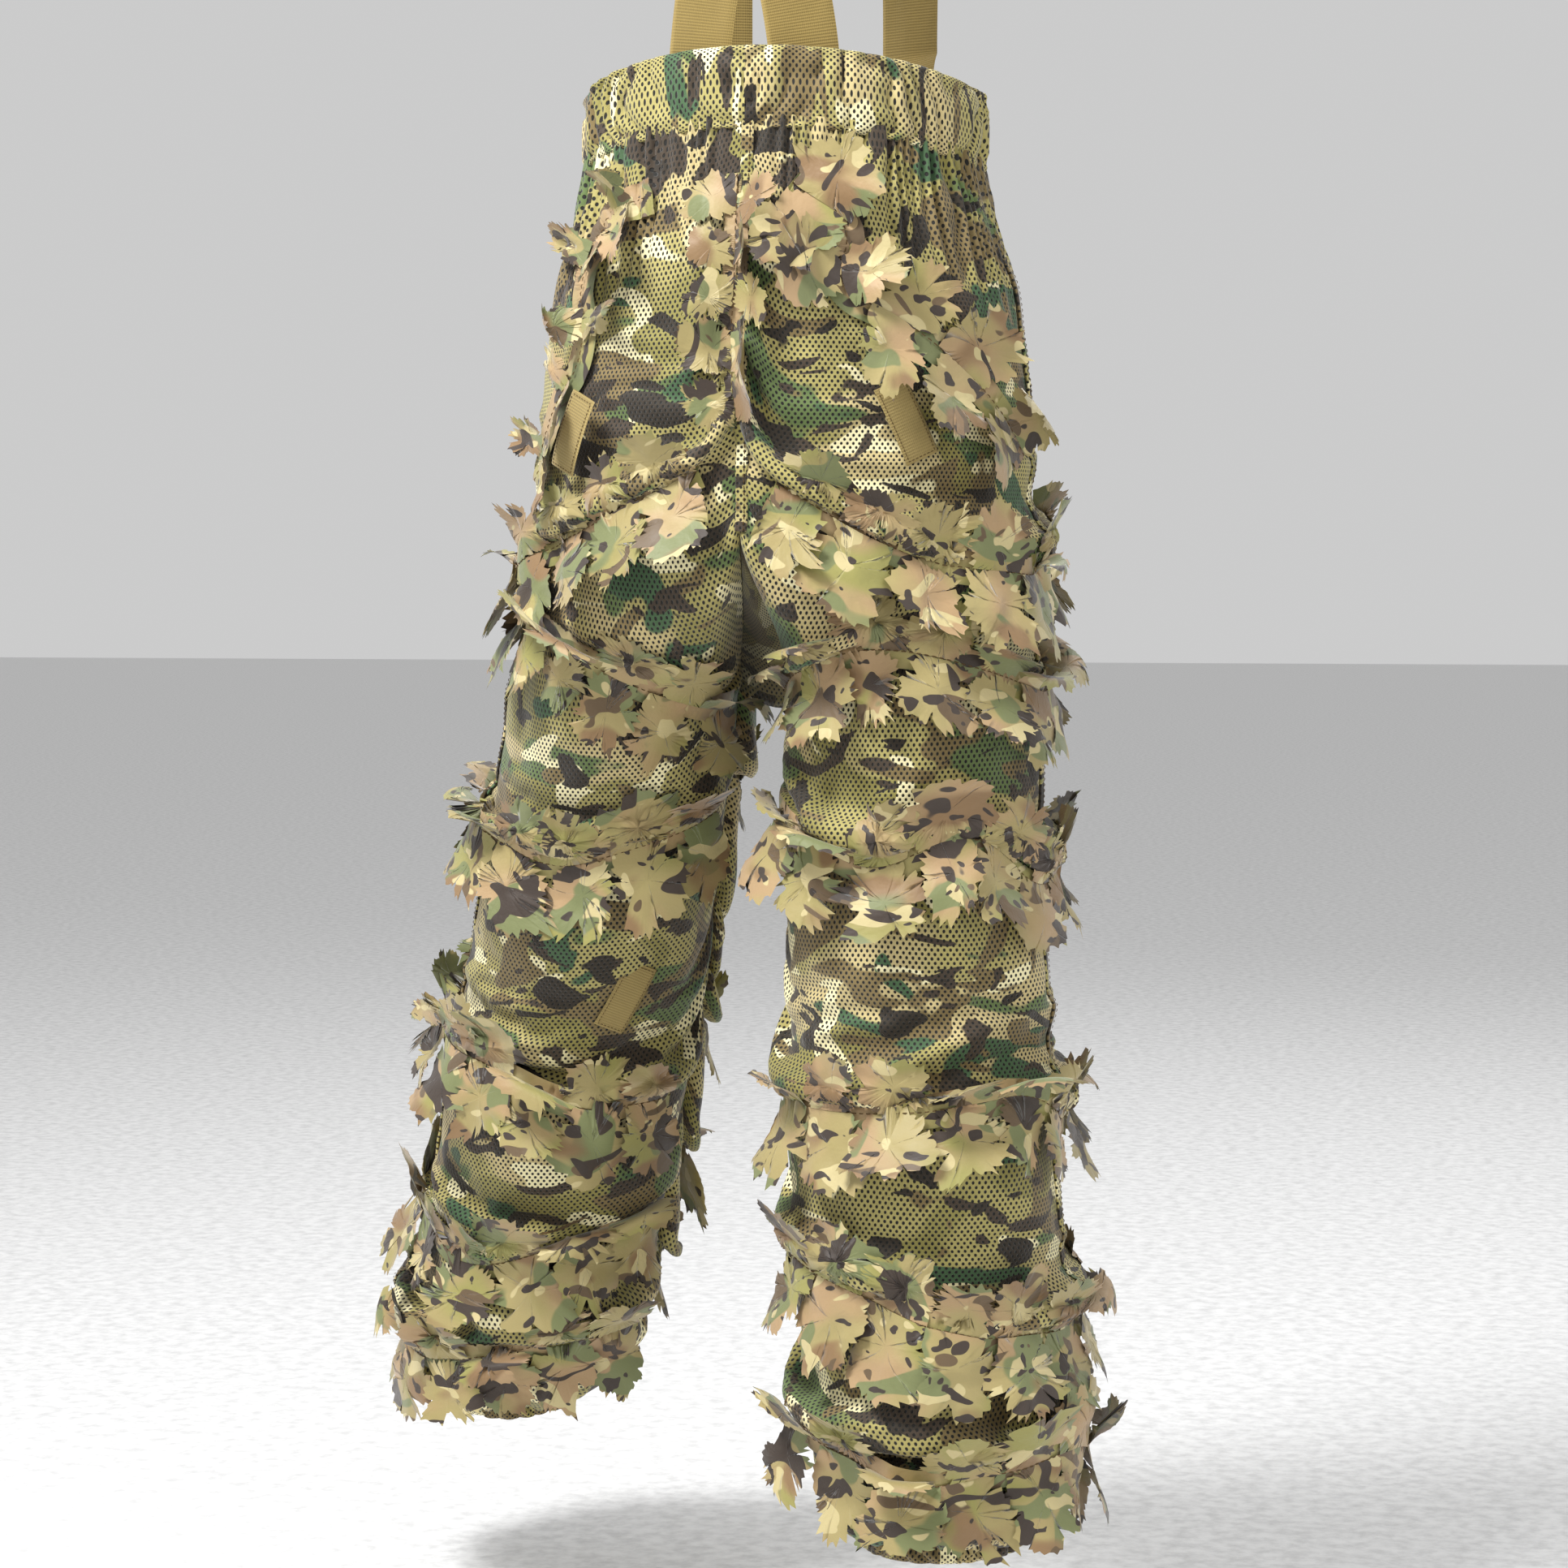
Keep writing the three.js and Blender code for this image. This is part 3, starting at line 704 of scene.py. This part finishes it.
def strip_piece(name, half, path, region, wrap=1.0, size=1.0):
    """A strip sewn along a path of (angle, h) on the half's cloth, with leaves on both sides."""
    seed = sum(ord(c) * (k + 7) for k, c in enumerate(name))
    draw = np.random.default_rng(seed)
    at = np.linspace(0, 1, 400)
    angle, h = path(at)
    line = half.at(angle, h)
    outward = unit(half.at(angle, h, half.outward))
    near = [((half.at(angle, h + d) - line) * outward).sum(-1) for d in (-0.014, -0.007, 0.0, 0.007, 0.014)]
    line = line + outward * (0.8 * np.max(near, 0))[:, None]
    kernel = np.ones(9) / 9
    line = np.stack([np.convolve(np.pad(line[:, k], 4, mode="edge"), kernel, "valid") for k in range(3)], -1)
    line += outward * 0.0015
    run = np.concatenate([[0], np.cumsum(np.linalg.norm(np.diff(line, axis=0), axis=1))])
    along = unit(np.gradient(line, axis=0))
    away = unit(np.cross(outward, along))
    away *= np.sign(away[:, 2].mean() or 1)

    def place(middle):
        def on(x):
            s = np.clip(middle + x * wrap, 0, run[-1])
            return [np.stack([np.interp(s, run, grid[:, k]) for k in range(3)], -1) for grid in (line, outward, away)]

        def flat(x):
            root, normal, off = on(x)
            return [root + np.cross(normal, off) * -(x * (1 - wrap))[:, None], normal, off]

        return flat

    parts, count = [], max(2, int(run[-1] / (LEAF_PITCH * size)))
    for k in range(count):
        middle = (k + 0.5) / count * run[-1]
        for side in (1, -1):
            shift = middle + draw.uniform(-0.003, 0.003)
            points, uv = leaf(place(shift), side, draw, side > 0, size)
            parts.append((points, uv, side))
    spread = np.linspace(-0.014, 0.014, 7) * size
    tape = line[:, None] + away[:, None] * spread[None, :, None] + outward[:, None] * 0.0006
    uv = np.stack(np.broadcast_arrays(run[:, None], spread[None, :]), -1) + 5
    made = strip_mesh(name, parts, tape, uv, half.sign)
    push_out(made, half)
    stitches = stitch_line(f"stitches_{name}", line + outward * 0.0022, outward, THREAD, 0.0055)
    for piece in (made, stitches):
        follow(piece, region)
    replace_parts(made, name)
    return made


def strip_mesh(name, parts, tape, tape_uv, sign):
    """The leaves and the tape that joins them, as one mesh."""
    points, uvs, count = [tape.reshape(-1, 3)], [tape_uv.reshape(-1, 2)], tape.shape[0] * tape.shape[1]
    faces = [tuple(f) for f in grid_faces(*tape.shape[:2], 0, sign > 0).tolist()]
    for p, uv, side in parts:
        faces += [tuple(i + count for i in f) for f in fan_faces(side > 0)]
        points.append(p)
        uvs.append(uv)
        count += len(p)
    mesh = bpy.data.meshes.new(name)
    mesh.from_pydata(np.concatenate(points).tolist(), [], faces)
    mesh.update()
    loops = np.zeros(len(mesh.loops), dtype=np.int32)
    mesh.loops.foreach_get("vertex_index", loops)
    mesh.uv_layers.new(name="UVMap").data.foreach_set("uv", np.concatenate(uvs).astype(np.float32)[loops].ravel())
    mesh.polygons.foreach_set("use_smooth", [True] * len(mesh.polygons))
    made = bpy.data.objects.new(f"leaves_{name}", mesh)
    bpy.context.collection.objects.link(made)
    mesh.materials.append(LEAF)
    return made


def cloth_tree(half):
    step = (slice(None, None, 3), slice(None, None, 3))
    points = half.points[step]
    faces = grid_faces(*points.shape[:2], 0, half.sign > 0)
    return BVHTree.FromPolygons(points.reshape(-1, 3).tolist(), faces.tolist())


TREES = {name: cloth_tree(half) for name, half in halves.items()}


def push_out(made, half, least=0.0018):
    """Lifts points that are inside the cloth, or too near it, to just outside it."""
    tree = TREES[half.name]
    count = len(made.data.vertices)
    points = np.empty(count * 3, np.float32)
    made.data.vertices.foreach_get("co", points)
    points = points.reshape(-1, 3).astype(float)
    for k, p in enumerate(points):
        near, normal, _, gap = tree.find_nearest(p)
        height = (Vector(p) - near).dot(normal)
        if height < least and gap < 0.06:
            points[k] = near + normal * (least + 0.0006 * (k % 3))
    made.data.vertices.foreach_set("co", keep_in(points).astype(np.float32).ravel())
    made.data.update()


def keep_in(points, soft=0.012):
    """Bends back the leaf tips that stand too far out of the part's box."""
    low, high = np.array(cad_box)
    room = 0.03 * (high - low) + 0.008 - soft
    over, under = np.maximum(0, points - high - room), np.maximum(0, low - room - points)
    return points - over + soft * np.tanh(over / soft) + under - soft * np.tanh(under / soft)


def stitch_line(name, line, outward, material, pitch, length=0.6, width=0.0009):
    """A run of thread dashes along a line of points."""
    run = np.concatenate([[0], np.cumsum(np.linalg.norm(np.diff(line, axis=0), axis=1))])
    starts = np.arange(pitch * 0.2, run[-1] - pitch * length, pitch)
    parts = []
    for s in starts:
        ends = [np.array([np.interp(s + d, run, line[:, k]) for k in range(3)]) for d in (0, pitch * length / 2, pitch * length)]
        up = unit(np.array([np.interp(s, run, outward[:, k]) for k in range(3)]))
        parts.append(dash(ends, up, width))
    points, faces, uv = join_parts(parts)
    return mesh_object(name, points, faces, uv, material)


def dash(ends, up, width):
    """A short thread that rises in its middle and dives at both ends."""
    along = unit(ends[2] - ends[0])
    across = np.cross(up, along) * width / 2
    points = []
    for p, lift in zip(ends, (0.0, width * 0.8, 0.0)):
        points += [p + across + up * lift * 0.5, p + up * (lift + width * 0.4), p - across + up * lift * 0.5]
    faces = [(0, 1, 4, 3), (1, 2, 5, 4), (3, 4, 7, 6), (4, 5, 8, 7)]
    uv = np.zeros((9, 2))
    return np.array(points), faces, uv


def row_path(side, name):
    first, last = ROWS[side][name][0][0], ROWS[side][name][-1][0]
    return lambda t: (first + (last - first) * t, row_depth(side, name, first + (last - first) * t))


def seat_path(stations):
    """A strip down the seat through stations of (angle on the hips, depth)."""
    angle, h = np.array(stations).T
    knots = np.linspace(0, 1, len(angle))
    tables = [smooth_table(knots, c, 0.08) for c in (2 * angle, h)]
    return lambda t: (np.clip(np.interp(t, *tables[0]), 0.001, TURN), np.interp(t, *tables[1]))


# Strips on the seat: the half under each, the leaves' size and stations of (angle on the hips, depth).
SEAT_RUNS = {
    "left": ("left", 0.96, [(0.42, 0.052), (0.74, 0.056), (0.88, 0.090), (0.74, 0.140), (0.98, 0.180), (1.12, 0.212), (1.18, 0.235)]),
    "right": ("right", 0.92, [(0.20, 0.050), (0.50, 0.068), (0.42, 0.106), (0.72, 0.122), (1.08, 0.168), (1.42, 0.222)]),
    "seam": ("left", 0.62, [(0.03, 0.053), (0.02, 0.11), (0.03, 0.17), (0.01, 0.232)]),
}

for name, half in halves.items():
    for row in ROWS[name]:
        region = "hip" if row in ("hip", "crotch") else "knee"
        strip_piece(f"leaf_strip_{row}_{name}", half, row_path(name, row), region, 1.0, 0.87)
for name, (side, size, stations) in SEAT_RUNS.items():
    strip_piece(f"leaf_strip_seat_{name}", halves[side], seat_path(stations), "hip", 0.25, size)

# ---- Waistband and hems: gathered casings ----


def casing(name, ring, height, thick, gather, cut, material, closed=True):
    """A gathered tube round a closed line. ring(t) gives its middle and outward direction."""
    t = np.linspace(0, 1, cut[0])[:, None]
    w = np.linspace(0, 1, cut[1])[None, :]
    around = (w + 0.5) * TURN
    middle, outward = ring(t[:, 0])
    profile_out = np.sign(np.cos(around)) * np.abs(np.cos(around)) ** 0.35 * thick / 2
    profile_up = np.sign(np.sin(around)) * np.abs(np.sin(around)) ** 0.8 * height / 2
    profile_up = profile_up + 0 * t
    face = np.clip(np.cos(around), 0, 1) ** 0.5
    ruche = gather(t, profile_up / height) * (0.35 + 0.65 * face)
    out = profile_out + ruche
    points = middle[:, None] + outward[:, None] * out[..., None]
    points[..., 2] += profile_up
    length = np.linalg.norm(np.diff(middle, axis=0), axis=1).sum() * 1.35
    uv = np.stack(np.broadcast_arrays(np.cumsum(np.full(cut[1], 2.2 * height / cut[1]))[None], t * length), -1)
    return grid_object(name, points, uv, material, False)


def waist_ring(t):
    angle = t * TURN
    x, y = np.sin(angle), -np.cos(angle)
    rise = 0.024 * np.maximum(0, np.cos(angle)) ** 1.5 - 0.012
    middle = np.stack([0.1435 * x, 0.1025 * y, rise], -1)
    outward = unit(np.stack([x / 0.1435, y / 0.1025, 0 * x], -1))
    return middle, outward


def waist_gather(t, up):
    wave = t * 34 + 1.3 * noise(t * 17, up * 1.5, 61)
    ridge = np.abs(np.sin(math.pi * wave)) ** 0.6
    depth = 0.0125 * (0.65 + 0.35 * noise(t * 30, 0 * up, 62))
    channels = 1 - 0.35 * np.exp(-(((np.abs(up) - 0.36) / 0.05) ** 2))
    return depth * (ridge - 0.45) * channels


waistband = casing("waistband", waist_ring, 0.058, 0.006, waist_gather, (1161, 36), MESH)
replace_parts(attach(waistband, "waist"), "waistband_back", "waistband_front", "waist_elastic")


def hem_ring(sign):
    def ring(t):
        angle = t * TURN
        s = 0.7895 + 0 * angle
        middle = leg_surface(sign, angle, s)
        wide = leg_surface(sign, angle, s)
        centre = middle.mean(0)
        return middle + unit(wide - centre) * 0.002, unit(wide - centre)

    return ring


def hem_gather(seed):
    def gather(t, up):
        wave = t * 24 + 0.9 * noise(t * 14, up * 2, seed)
        ridge = np.abs(np.sin(math.pi * wave)) ** 0.7
        return 0.0085 * (0.7 + 0.3 * noise(t * 20, 0 * up, seed + 1)) * (ridge - 0.45)

    return gather


for name, sign in SIDES.items():
    made = casing(f"hem_{name}", hem_ring(sign), 0.034, 0.006, hem_gather(70 + sign), (481, 28), MESH)
    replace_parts(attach(made, f"{name}_calf"), f"hem_casing_{name}", f"hem_elastic_{name}")

# ---- Suspenders ----

STRAP = [
    (-40, -89, -22), (-38, -89, 40), (-22, -96, 130), (0, -102, 205), (34, -98, 290), (66, -72, 350), (80, -24, 383), (84, 30, 382),
    (80, 70, 342), (74, 88, 280), (74, 88, 266), (74, 88, 200), (74, 88, 120), (74, 88, 64), (74, 88, 54), (74, 77, 28),
    (74, 77, -22),
]


def spline(points, count):
    """A centripetal curve through the points, evenly sampled."""
    p = np.asarray(points, float)
    p = np.concatenate([[2 * p[0] - p[1]], p, [2 * p[-1] - p[-2]]])
    knots = np.concatenate([[0], np.cumsum(np.linalg.norm(np.diff(p, axis=0), axis=1) ** 0.5)])
    out = []
    for k in range(1, len(p) - 2):
        t0, t1, t2, t3 = knots[k - 1 : k + 3]
        t = np.linspace(t1, t2, 24, endpoint=False)[:, None]
        a1 = (t1 - t) / (t1 - t0) * p[k - 1] + (t - t0) / (t1 - t0) * p[k]
        a2 = (t2 - t) / (t2 - t1) * p[k] + (t - t1) / (t2 - t1) * p[k + 1]
        a3 = (t3 - t) / (t3 - t2) * p[k + 1] + (t - t2) / (t3 - t2) * p[k + 2]
        b1 = (t2 - t) / (t2 - t0) * a1 + (t - t0) / (t2 - t0) * a2
        b2 = (t3 - t) / (t3 - t1) * a2 + (t - t1) / (t3 - t1) * a3
        out.append((t2 - t) / (t2 - t1) * b1 + (t - t1) / (t2 - t1) * b2)
    line = np.concatenate([*out, p[-2:-1]])
    run = np.concatenate([[0], np.cumsum(np.linalg.norm(np.diff(line, axis=0), axis=1))])
    at = np.linspace(0, run[-1], count)
    return np.stack([np.interp(at, run, line[:, k]) for k in range(3)], -1), at


def strap_frame(sign):
    line, run = spline([(x * sign / 1000, y / 1000, z / 1000) for x, y, z in STRAP], 260)
    away = 1 - np.exp(-(((line[:, 2] - 0.205) / 0.06) ** 2))
    outward = np.stack([0.5 * line[:, 0] * away, line[:, 1], line[:, 2] - np.minimum(line[:, 2], 0.3)], -1)
    along = unit(np.gradient(line, axis=0))
    outward = unit(outward - along * (outward * along).sum(-1, keepdims=True))
    if sign < 0:
        line = line + outward * (0.0028 * np.exp(-(((line[:, 2] - 0.205) / 0.05) ** 2)) * (line[:, 1] < 0))[:, None]
    return line, outward, np.cross(outward, along), run


def band(name, line, outward, across, run, width, thick, material, wave=0.0):
    """A flat tape along a line, with rounded edges."""
    u = np.concatenate([np.linspace(-1, 1, 15), np.linspace(1, -1, 15)])
    face = np.concatenate([np.full(15, 1.0), np.full(15, -1.0)])
    round_edge = np.sqrt(np.clip(1 - np.abs(u) ** 14, 0, 1))
    ripple = wave * noise(run[:, None] / 0.09, u[None] * 1.2, 81)
    offset = face * round_edge * thick / 2 + ripple
    points = line[:, None] + across[:, None] * (u * width / 2)[None, :, None] + outward[:, None] * offset[..., None]
    uv = np.stack(np.broadcast_arrays((u * width / 2)[None, :], run[:, None]), -1)
    return grid_object(name, points, uv, material, False)


for name, sign in SIDES.items():
    line, outward, across, run = strap_frame(sign)
    made = band(f"strap_{name}", line, outward, across, run, 0.050, 0.0020, WEBBING, 0.0008)
    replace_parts(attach(made, "waist"), f"suspender_{name}")

# ---- Small trims: loops, patch, adjusters and seams ----


def tab(name, centre, outward, down, size, bow, region, side, node, edge=0.0022):
    """A webbing tab sewn down at both ends, bowed a little between them, with stitches round it."""
    outward = unit(outward)
    down = unit(down - outward * np.dot(down, outward))
    line = np.linspace(-0.5, 0.5, 41)
    lift = bow * np.clip(np.cos(line * math.pi), 0, 1) ** 0.6
    points = centre + np.outer(line * size[1], down) + np.outer(0.0022 + lift, outward)
    outwards = np.tile(outward, (41, 1))
    across = np.tile(np.cross(outward, down), (41, 1))
    run = (line + 0.5) * size[1]
    made = band(name, points, outwards, across, run, size[0], 0.0016, TAB, 0.0003)
    w, h = size[0] / 2 - edge, size[1] / 2 - edge
    corners = [(-w, -h), (w, -h), (w, h), (-w, h), (-w, -h)]
    path, ups = [], []
    for (x0, y0), (x1, y1) in zip(corners, corners[1:]):
        for t in np.linspace(0, 1, 24):
            x, y = x0 + (x1 - x0) * t, y0 + (y1 - y0) * t
            rise = bow * np.clip(np.cos(y / size[1] * math.pi), 0, 1) ** 0.6
            path.append(centre + across[0] * x + down * y + outward * (0.0022 + rise + 0.0009))
            ups.append(outward)
    seam = stitch_line(f"{name}_stitches", np.array(path), np.array(ups), THREAD, 0.0030, 0.62, 0.0006)
    for piece in (made, seam):
        follow(piece, region)
    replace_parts(made, node)


def down_at(half, angle, h):
    return half.at(np.array([angle]), np.array([h + 0.02]), half.base)[0] - half.at(np.array([angle]), np.array([h - 0.02]), half.base)[0]


def on_cloth(half, angle, h, lean):
    """Middle, outward and downward directions of a tab on the cloth, leaning outwards at its foot."""
    outward = half.at(np.array([angle]), np.array([h]), half.outward)[0]
    near = [half.at(np.array([angle + a]), np.array([h + b]))[0] for a in (-0.1, 0, 0.1) for b in (-0.015, 0, 0.015)]
    base = half.at(np.array([angle]), np.array([h]), half.base)[0]
    proud = max(float(np.dot(p - base, outward)) for p in near)
    down = unit(down_at(half, angle, h))
    sideways = np.cross(outward, down) * half.sign
    sideways *= np.sign(sideways[0] * half.sign) or 1
    return base + outward * proud, outward, down * math.cos(lean) + sideways * math.sin(lean)


for name, angle, h in (("left", 1.42, 0.231), ("right", 1.34, 0.225)):
    tab(f"seat_loop_{name}", *on_cloth(halves[name], angle, h, 0.42), (0.025, 0.058), 0.0022, "waist", name, f"foliage_loop_seat_{name}")
half = halves["left"]
tab("calf_loop_left", *on_cloth(half, 1.04, 0.650, 0.35), (0.025, 0.058), 0.0022, "knee", "left", "foliage_loop_calf_left")


def patch():
    """The square patch that joins the straps where they cross, sewn with a box and a cross."""
    size, y, z = 0.060, -0.1096, 0.205
    u = np.linspace(-1, 1, 41)
    x, up = np.meshgrid(u, u, indexing="ij")
    dome = 0.0012 * (1 - np.maximum(np.abs(x), np.abs(up)) ** 10)
    points = np.stack([x * size / 2, y - dome, z + up * size / 2], -1)
    made = grid_object("patch", points, np.stack([x * size / 2, up * size / 2], -1), WEBBING, False)
    back = points.copy()
    back[..., 1] = y + 0.0008
    rim = grid_object("patch_back", back, np.stack([x * size / 2, up * size / 2], -1), WEBBING, True)
    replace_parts(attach(made, "waist"), "cross_patch")
    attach(rim, "waist")
    w = size / 2 - 0.004
    runs = [[(-w, -w), (w, -w), (w, w), (-w, w), (-w, -w)], [(-w, -w), (w, w)], [(w, -w), (-w, w)]]
    for k, corners in enumerate(runs):
        corners = np.array(corners)
        t = np.linspace(0, len(corners) - 1, 60 * (len(corners) - 1))
        flat = np.stack([np.interp(t, np.arange(len(corners)), corners[:, c]) for c in (0, 1)], -1)
        path = np.stack([flat[:, 0], np.full(len(t), y - 0.0014), z + flat[:, 1]], -1)
        seam = stitch_line(f"patch_stitches_{k}", path, np.tile([0.0, -1.0, 0.0], (len(t), 1)), PALE_THREAD, 0.0034, 0.62, 0.0007)
        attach(seam, "waist")


patch()


def rounded_bars(name, bars, place, material):
    """A moulded frame of rounded bars. Each bar is (middle, size) in the frame's own axes."""
    origin, right, up, out = place
    parts = []
    for (cx, cy, cz), (sx, sy, sz) in bars:
        turn, along = np.linspace(0, TURN, 17)[:, None], np.linspace(-1, 1, 13)[None, :]
        shrink = (1 - np.abs(along) ** 8) ** 0.25
        y = np.sign(np.sin(turn)) * np.abs(np.sin(turn)) ** 0.5 * sy / 2 * shrink
        z = np.sign(np.cos(turn)) * np.abs(np.cos(turn)) ** 0.5 * sz / 2 * shrink
        local = np.stack(np.broadcast_arrays(along * sx / 2 + cx, y + cy, z + cz), -1)
        if sy > sx:
            local = np.stack(np.broadcast_arrays((y * sx / sy) + cx, along * sy / 2 + cy, z + cz), -1)
        points = origin + local[..., 0:1] * right + local[..., 1:2] * up + local[..., 2:3] * out
        parts.append((points.reshape(-1, 3), grid_faces(17, 13, 0, sy > sx), np.zeros((17 * 13, 2))))
    points, faces, uv = join_parts(parts)
    return mesh_object(name, points, faces, uv, material)


def adjuster(name, sign):
    """A slide that shortens the strap: two rails, two long bars and a middle bar."""
    low, high = (np.array(c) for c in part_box(f"adjuster_{name}"))
    out = unit(np.array([0.5 * 0.074 * sign, 0.088, 0.0]))
    right = np.cross(out, np.array([0.0, 0.0, 1.0]))
    origin = (low + high) / 2
    bars = [
        ((-0.0285, 0, 0), (0.0055, 0.025, 0.0062)), ((0.0285, 0, 0), (0.0055, 0.025, 0.0062)),
        ((0, 0.0098, 0.0031), (0.0600, 0.0052, 0.0032)), ((0, -0.0098, 0.0031), (0.0600, 0.0052, 0.0032)),
        ((0, 0.0, 0.0034), (0.0580, 0.0040, 0.0028)), ((0, 0.0098, -0.0031), (0.0600, 0.0052, 0.0032)),
        ((0, -0.0098, -0.0031), (0.0600, 0.0052, 0.0032)),
    ]
    made = rounded_bars(f"slide_{name}", bars, (origin, right, np.array([0.0, 0.0, 1.0]), out), PLASTIC)
    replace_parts(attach(made, f"{name}_adjuster"), f"adjuster_{name}")


for name, sign in SIDES.items():
    adjuster(name, sign)


def seam_ridge(name, half, angle, top, low, region):
    """A felled seam: a low ridge of folded cloth with a run of stitches beside it."""
    h = np.linspace(top, low, int((low - top) / 0.003))
    line = half.at(np.full(len(h), angle), h)
    outward = half.at(np.full(len(h), angle), h, half.outward)
    along = unit(np.gradient(line, axis=0))
    across = unit(np.cross(outward, along))
    run = np.concatenate([[0], np.cumsum(np.linalg.norm(np.diff(line, axis=0), axis=1))])
    fold = band(f"seam_{name}", line + outward * 0.0012, outward, across, run, 0.009, 0.0022, MESH, 0.0006)
    seam = stitch_line(f"seam_stitches_{name}", line + outward * 0.0026 + across * 0.0022, outward, THREAD, 0.0042, 0.6, 0.0007)
    for piece in (fold, seam):
        follow(piece, region)


for name, half in halves.items():
    seam_ridge(f"side_upper_{name}", half, math.pi, 0.024, SPLIT, "hip")
    seam_ridge(f"side_lower_{name}", half, math.pi, SPLIT, 1.012, "knee")
seam_ridge("centre_back", halves["right"], 0.03, 0.024, 0.300, "hip")
seam_ridge("centre_front", halves["right"], TURN - 0.03, 0.024, 0.300, "hip")


# ---- Studio, camera and finish ----


def area_light(name, place, target, size, power, color=(1, 1, 1)):
    data = bpy.data.lights.new(name, "AREA")
    data.shape, data.size, data.energy, data.color = "SQUARE", size, power, color
    made = bpy.data.objects.new(name, data)
    made.location = place
    made.rotation_euler = (Vector(target) - Vector(place)).to_track_quat("-Z", "Y").to_euler()
    bpy.context.collection.objects.link(made)


def studio():
    size, z = 40.0, -1.15
    corners = [(-size, -size, z), (size, -size, z), (size, size, z), (-size, size, z)]
    paper = plain_material("paper", (0.80, 0.80, 0.80), 0.9, 60.0, 0.0001)
    floor = mesh_object("floor", corners, [(0, 1, 2, 3)], np.zeros((4, 2)), paper, False)
    world = bpy.data.worlds.new("world")
    bpy.context.scene.world = world
    bpy.context.scene.view_settings.view_transform = "Standard"
    world.use_nodes = True
    world.node_tree.nodes["Background"].inputs["Color"].default_value = (1, 1, 1, 1)
    world.node_tree.nodes["Background"].inputs["Strength"].default_value = 0.60
    area_light("key", (-1.0, -1.45, 1.95), (0, 0, 0.0), 0.9, 122)
    area_light("fill", (2.6, -2.0, 0.9), (0, 0, -0.3), 2.2, 24)
    area_light("back", (0.5, 3.0, 2.2), (0, 0, -0.3), 2.0, 40)


def camera():
    data = bpy.data.cameras.new("camera")
    data.lens, data.sensor_width = 87.0, 36.0
    made = bpy.data.objects.new("camera", data)
    bpy.context.collection.objects.link(made)
    turn, distance, dip = math.radians(15), 2.8, math.radians(2.9)
    made.location = (distance * math.sin(turn), -distance * math.cos(turn), -0.345)
    aim = Vector((-math.sin(turn) * math.cos(dip), math.cos(turn) * math.cos(dip), -math.sin(dip)))
    made.rotation_euler = aim.to_track_quat("-Z", "Y").to_euler()
    bpy.context.scene.camera = made


studio()
camera()
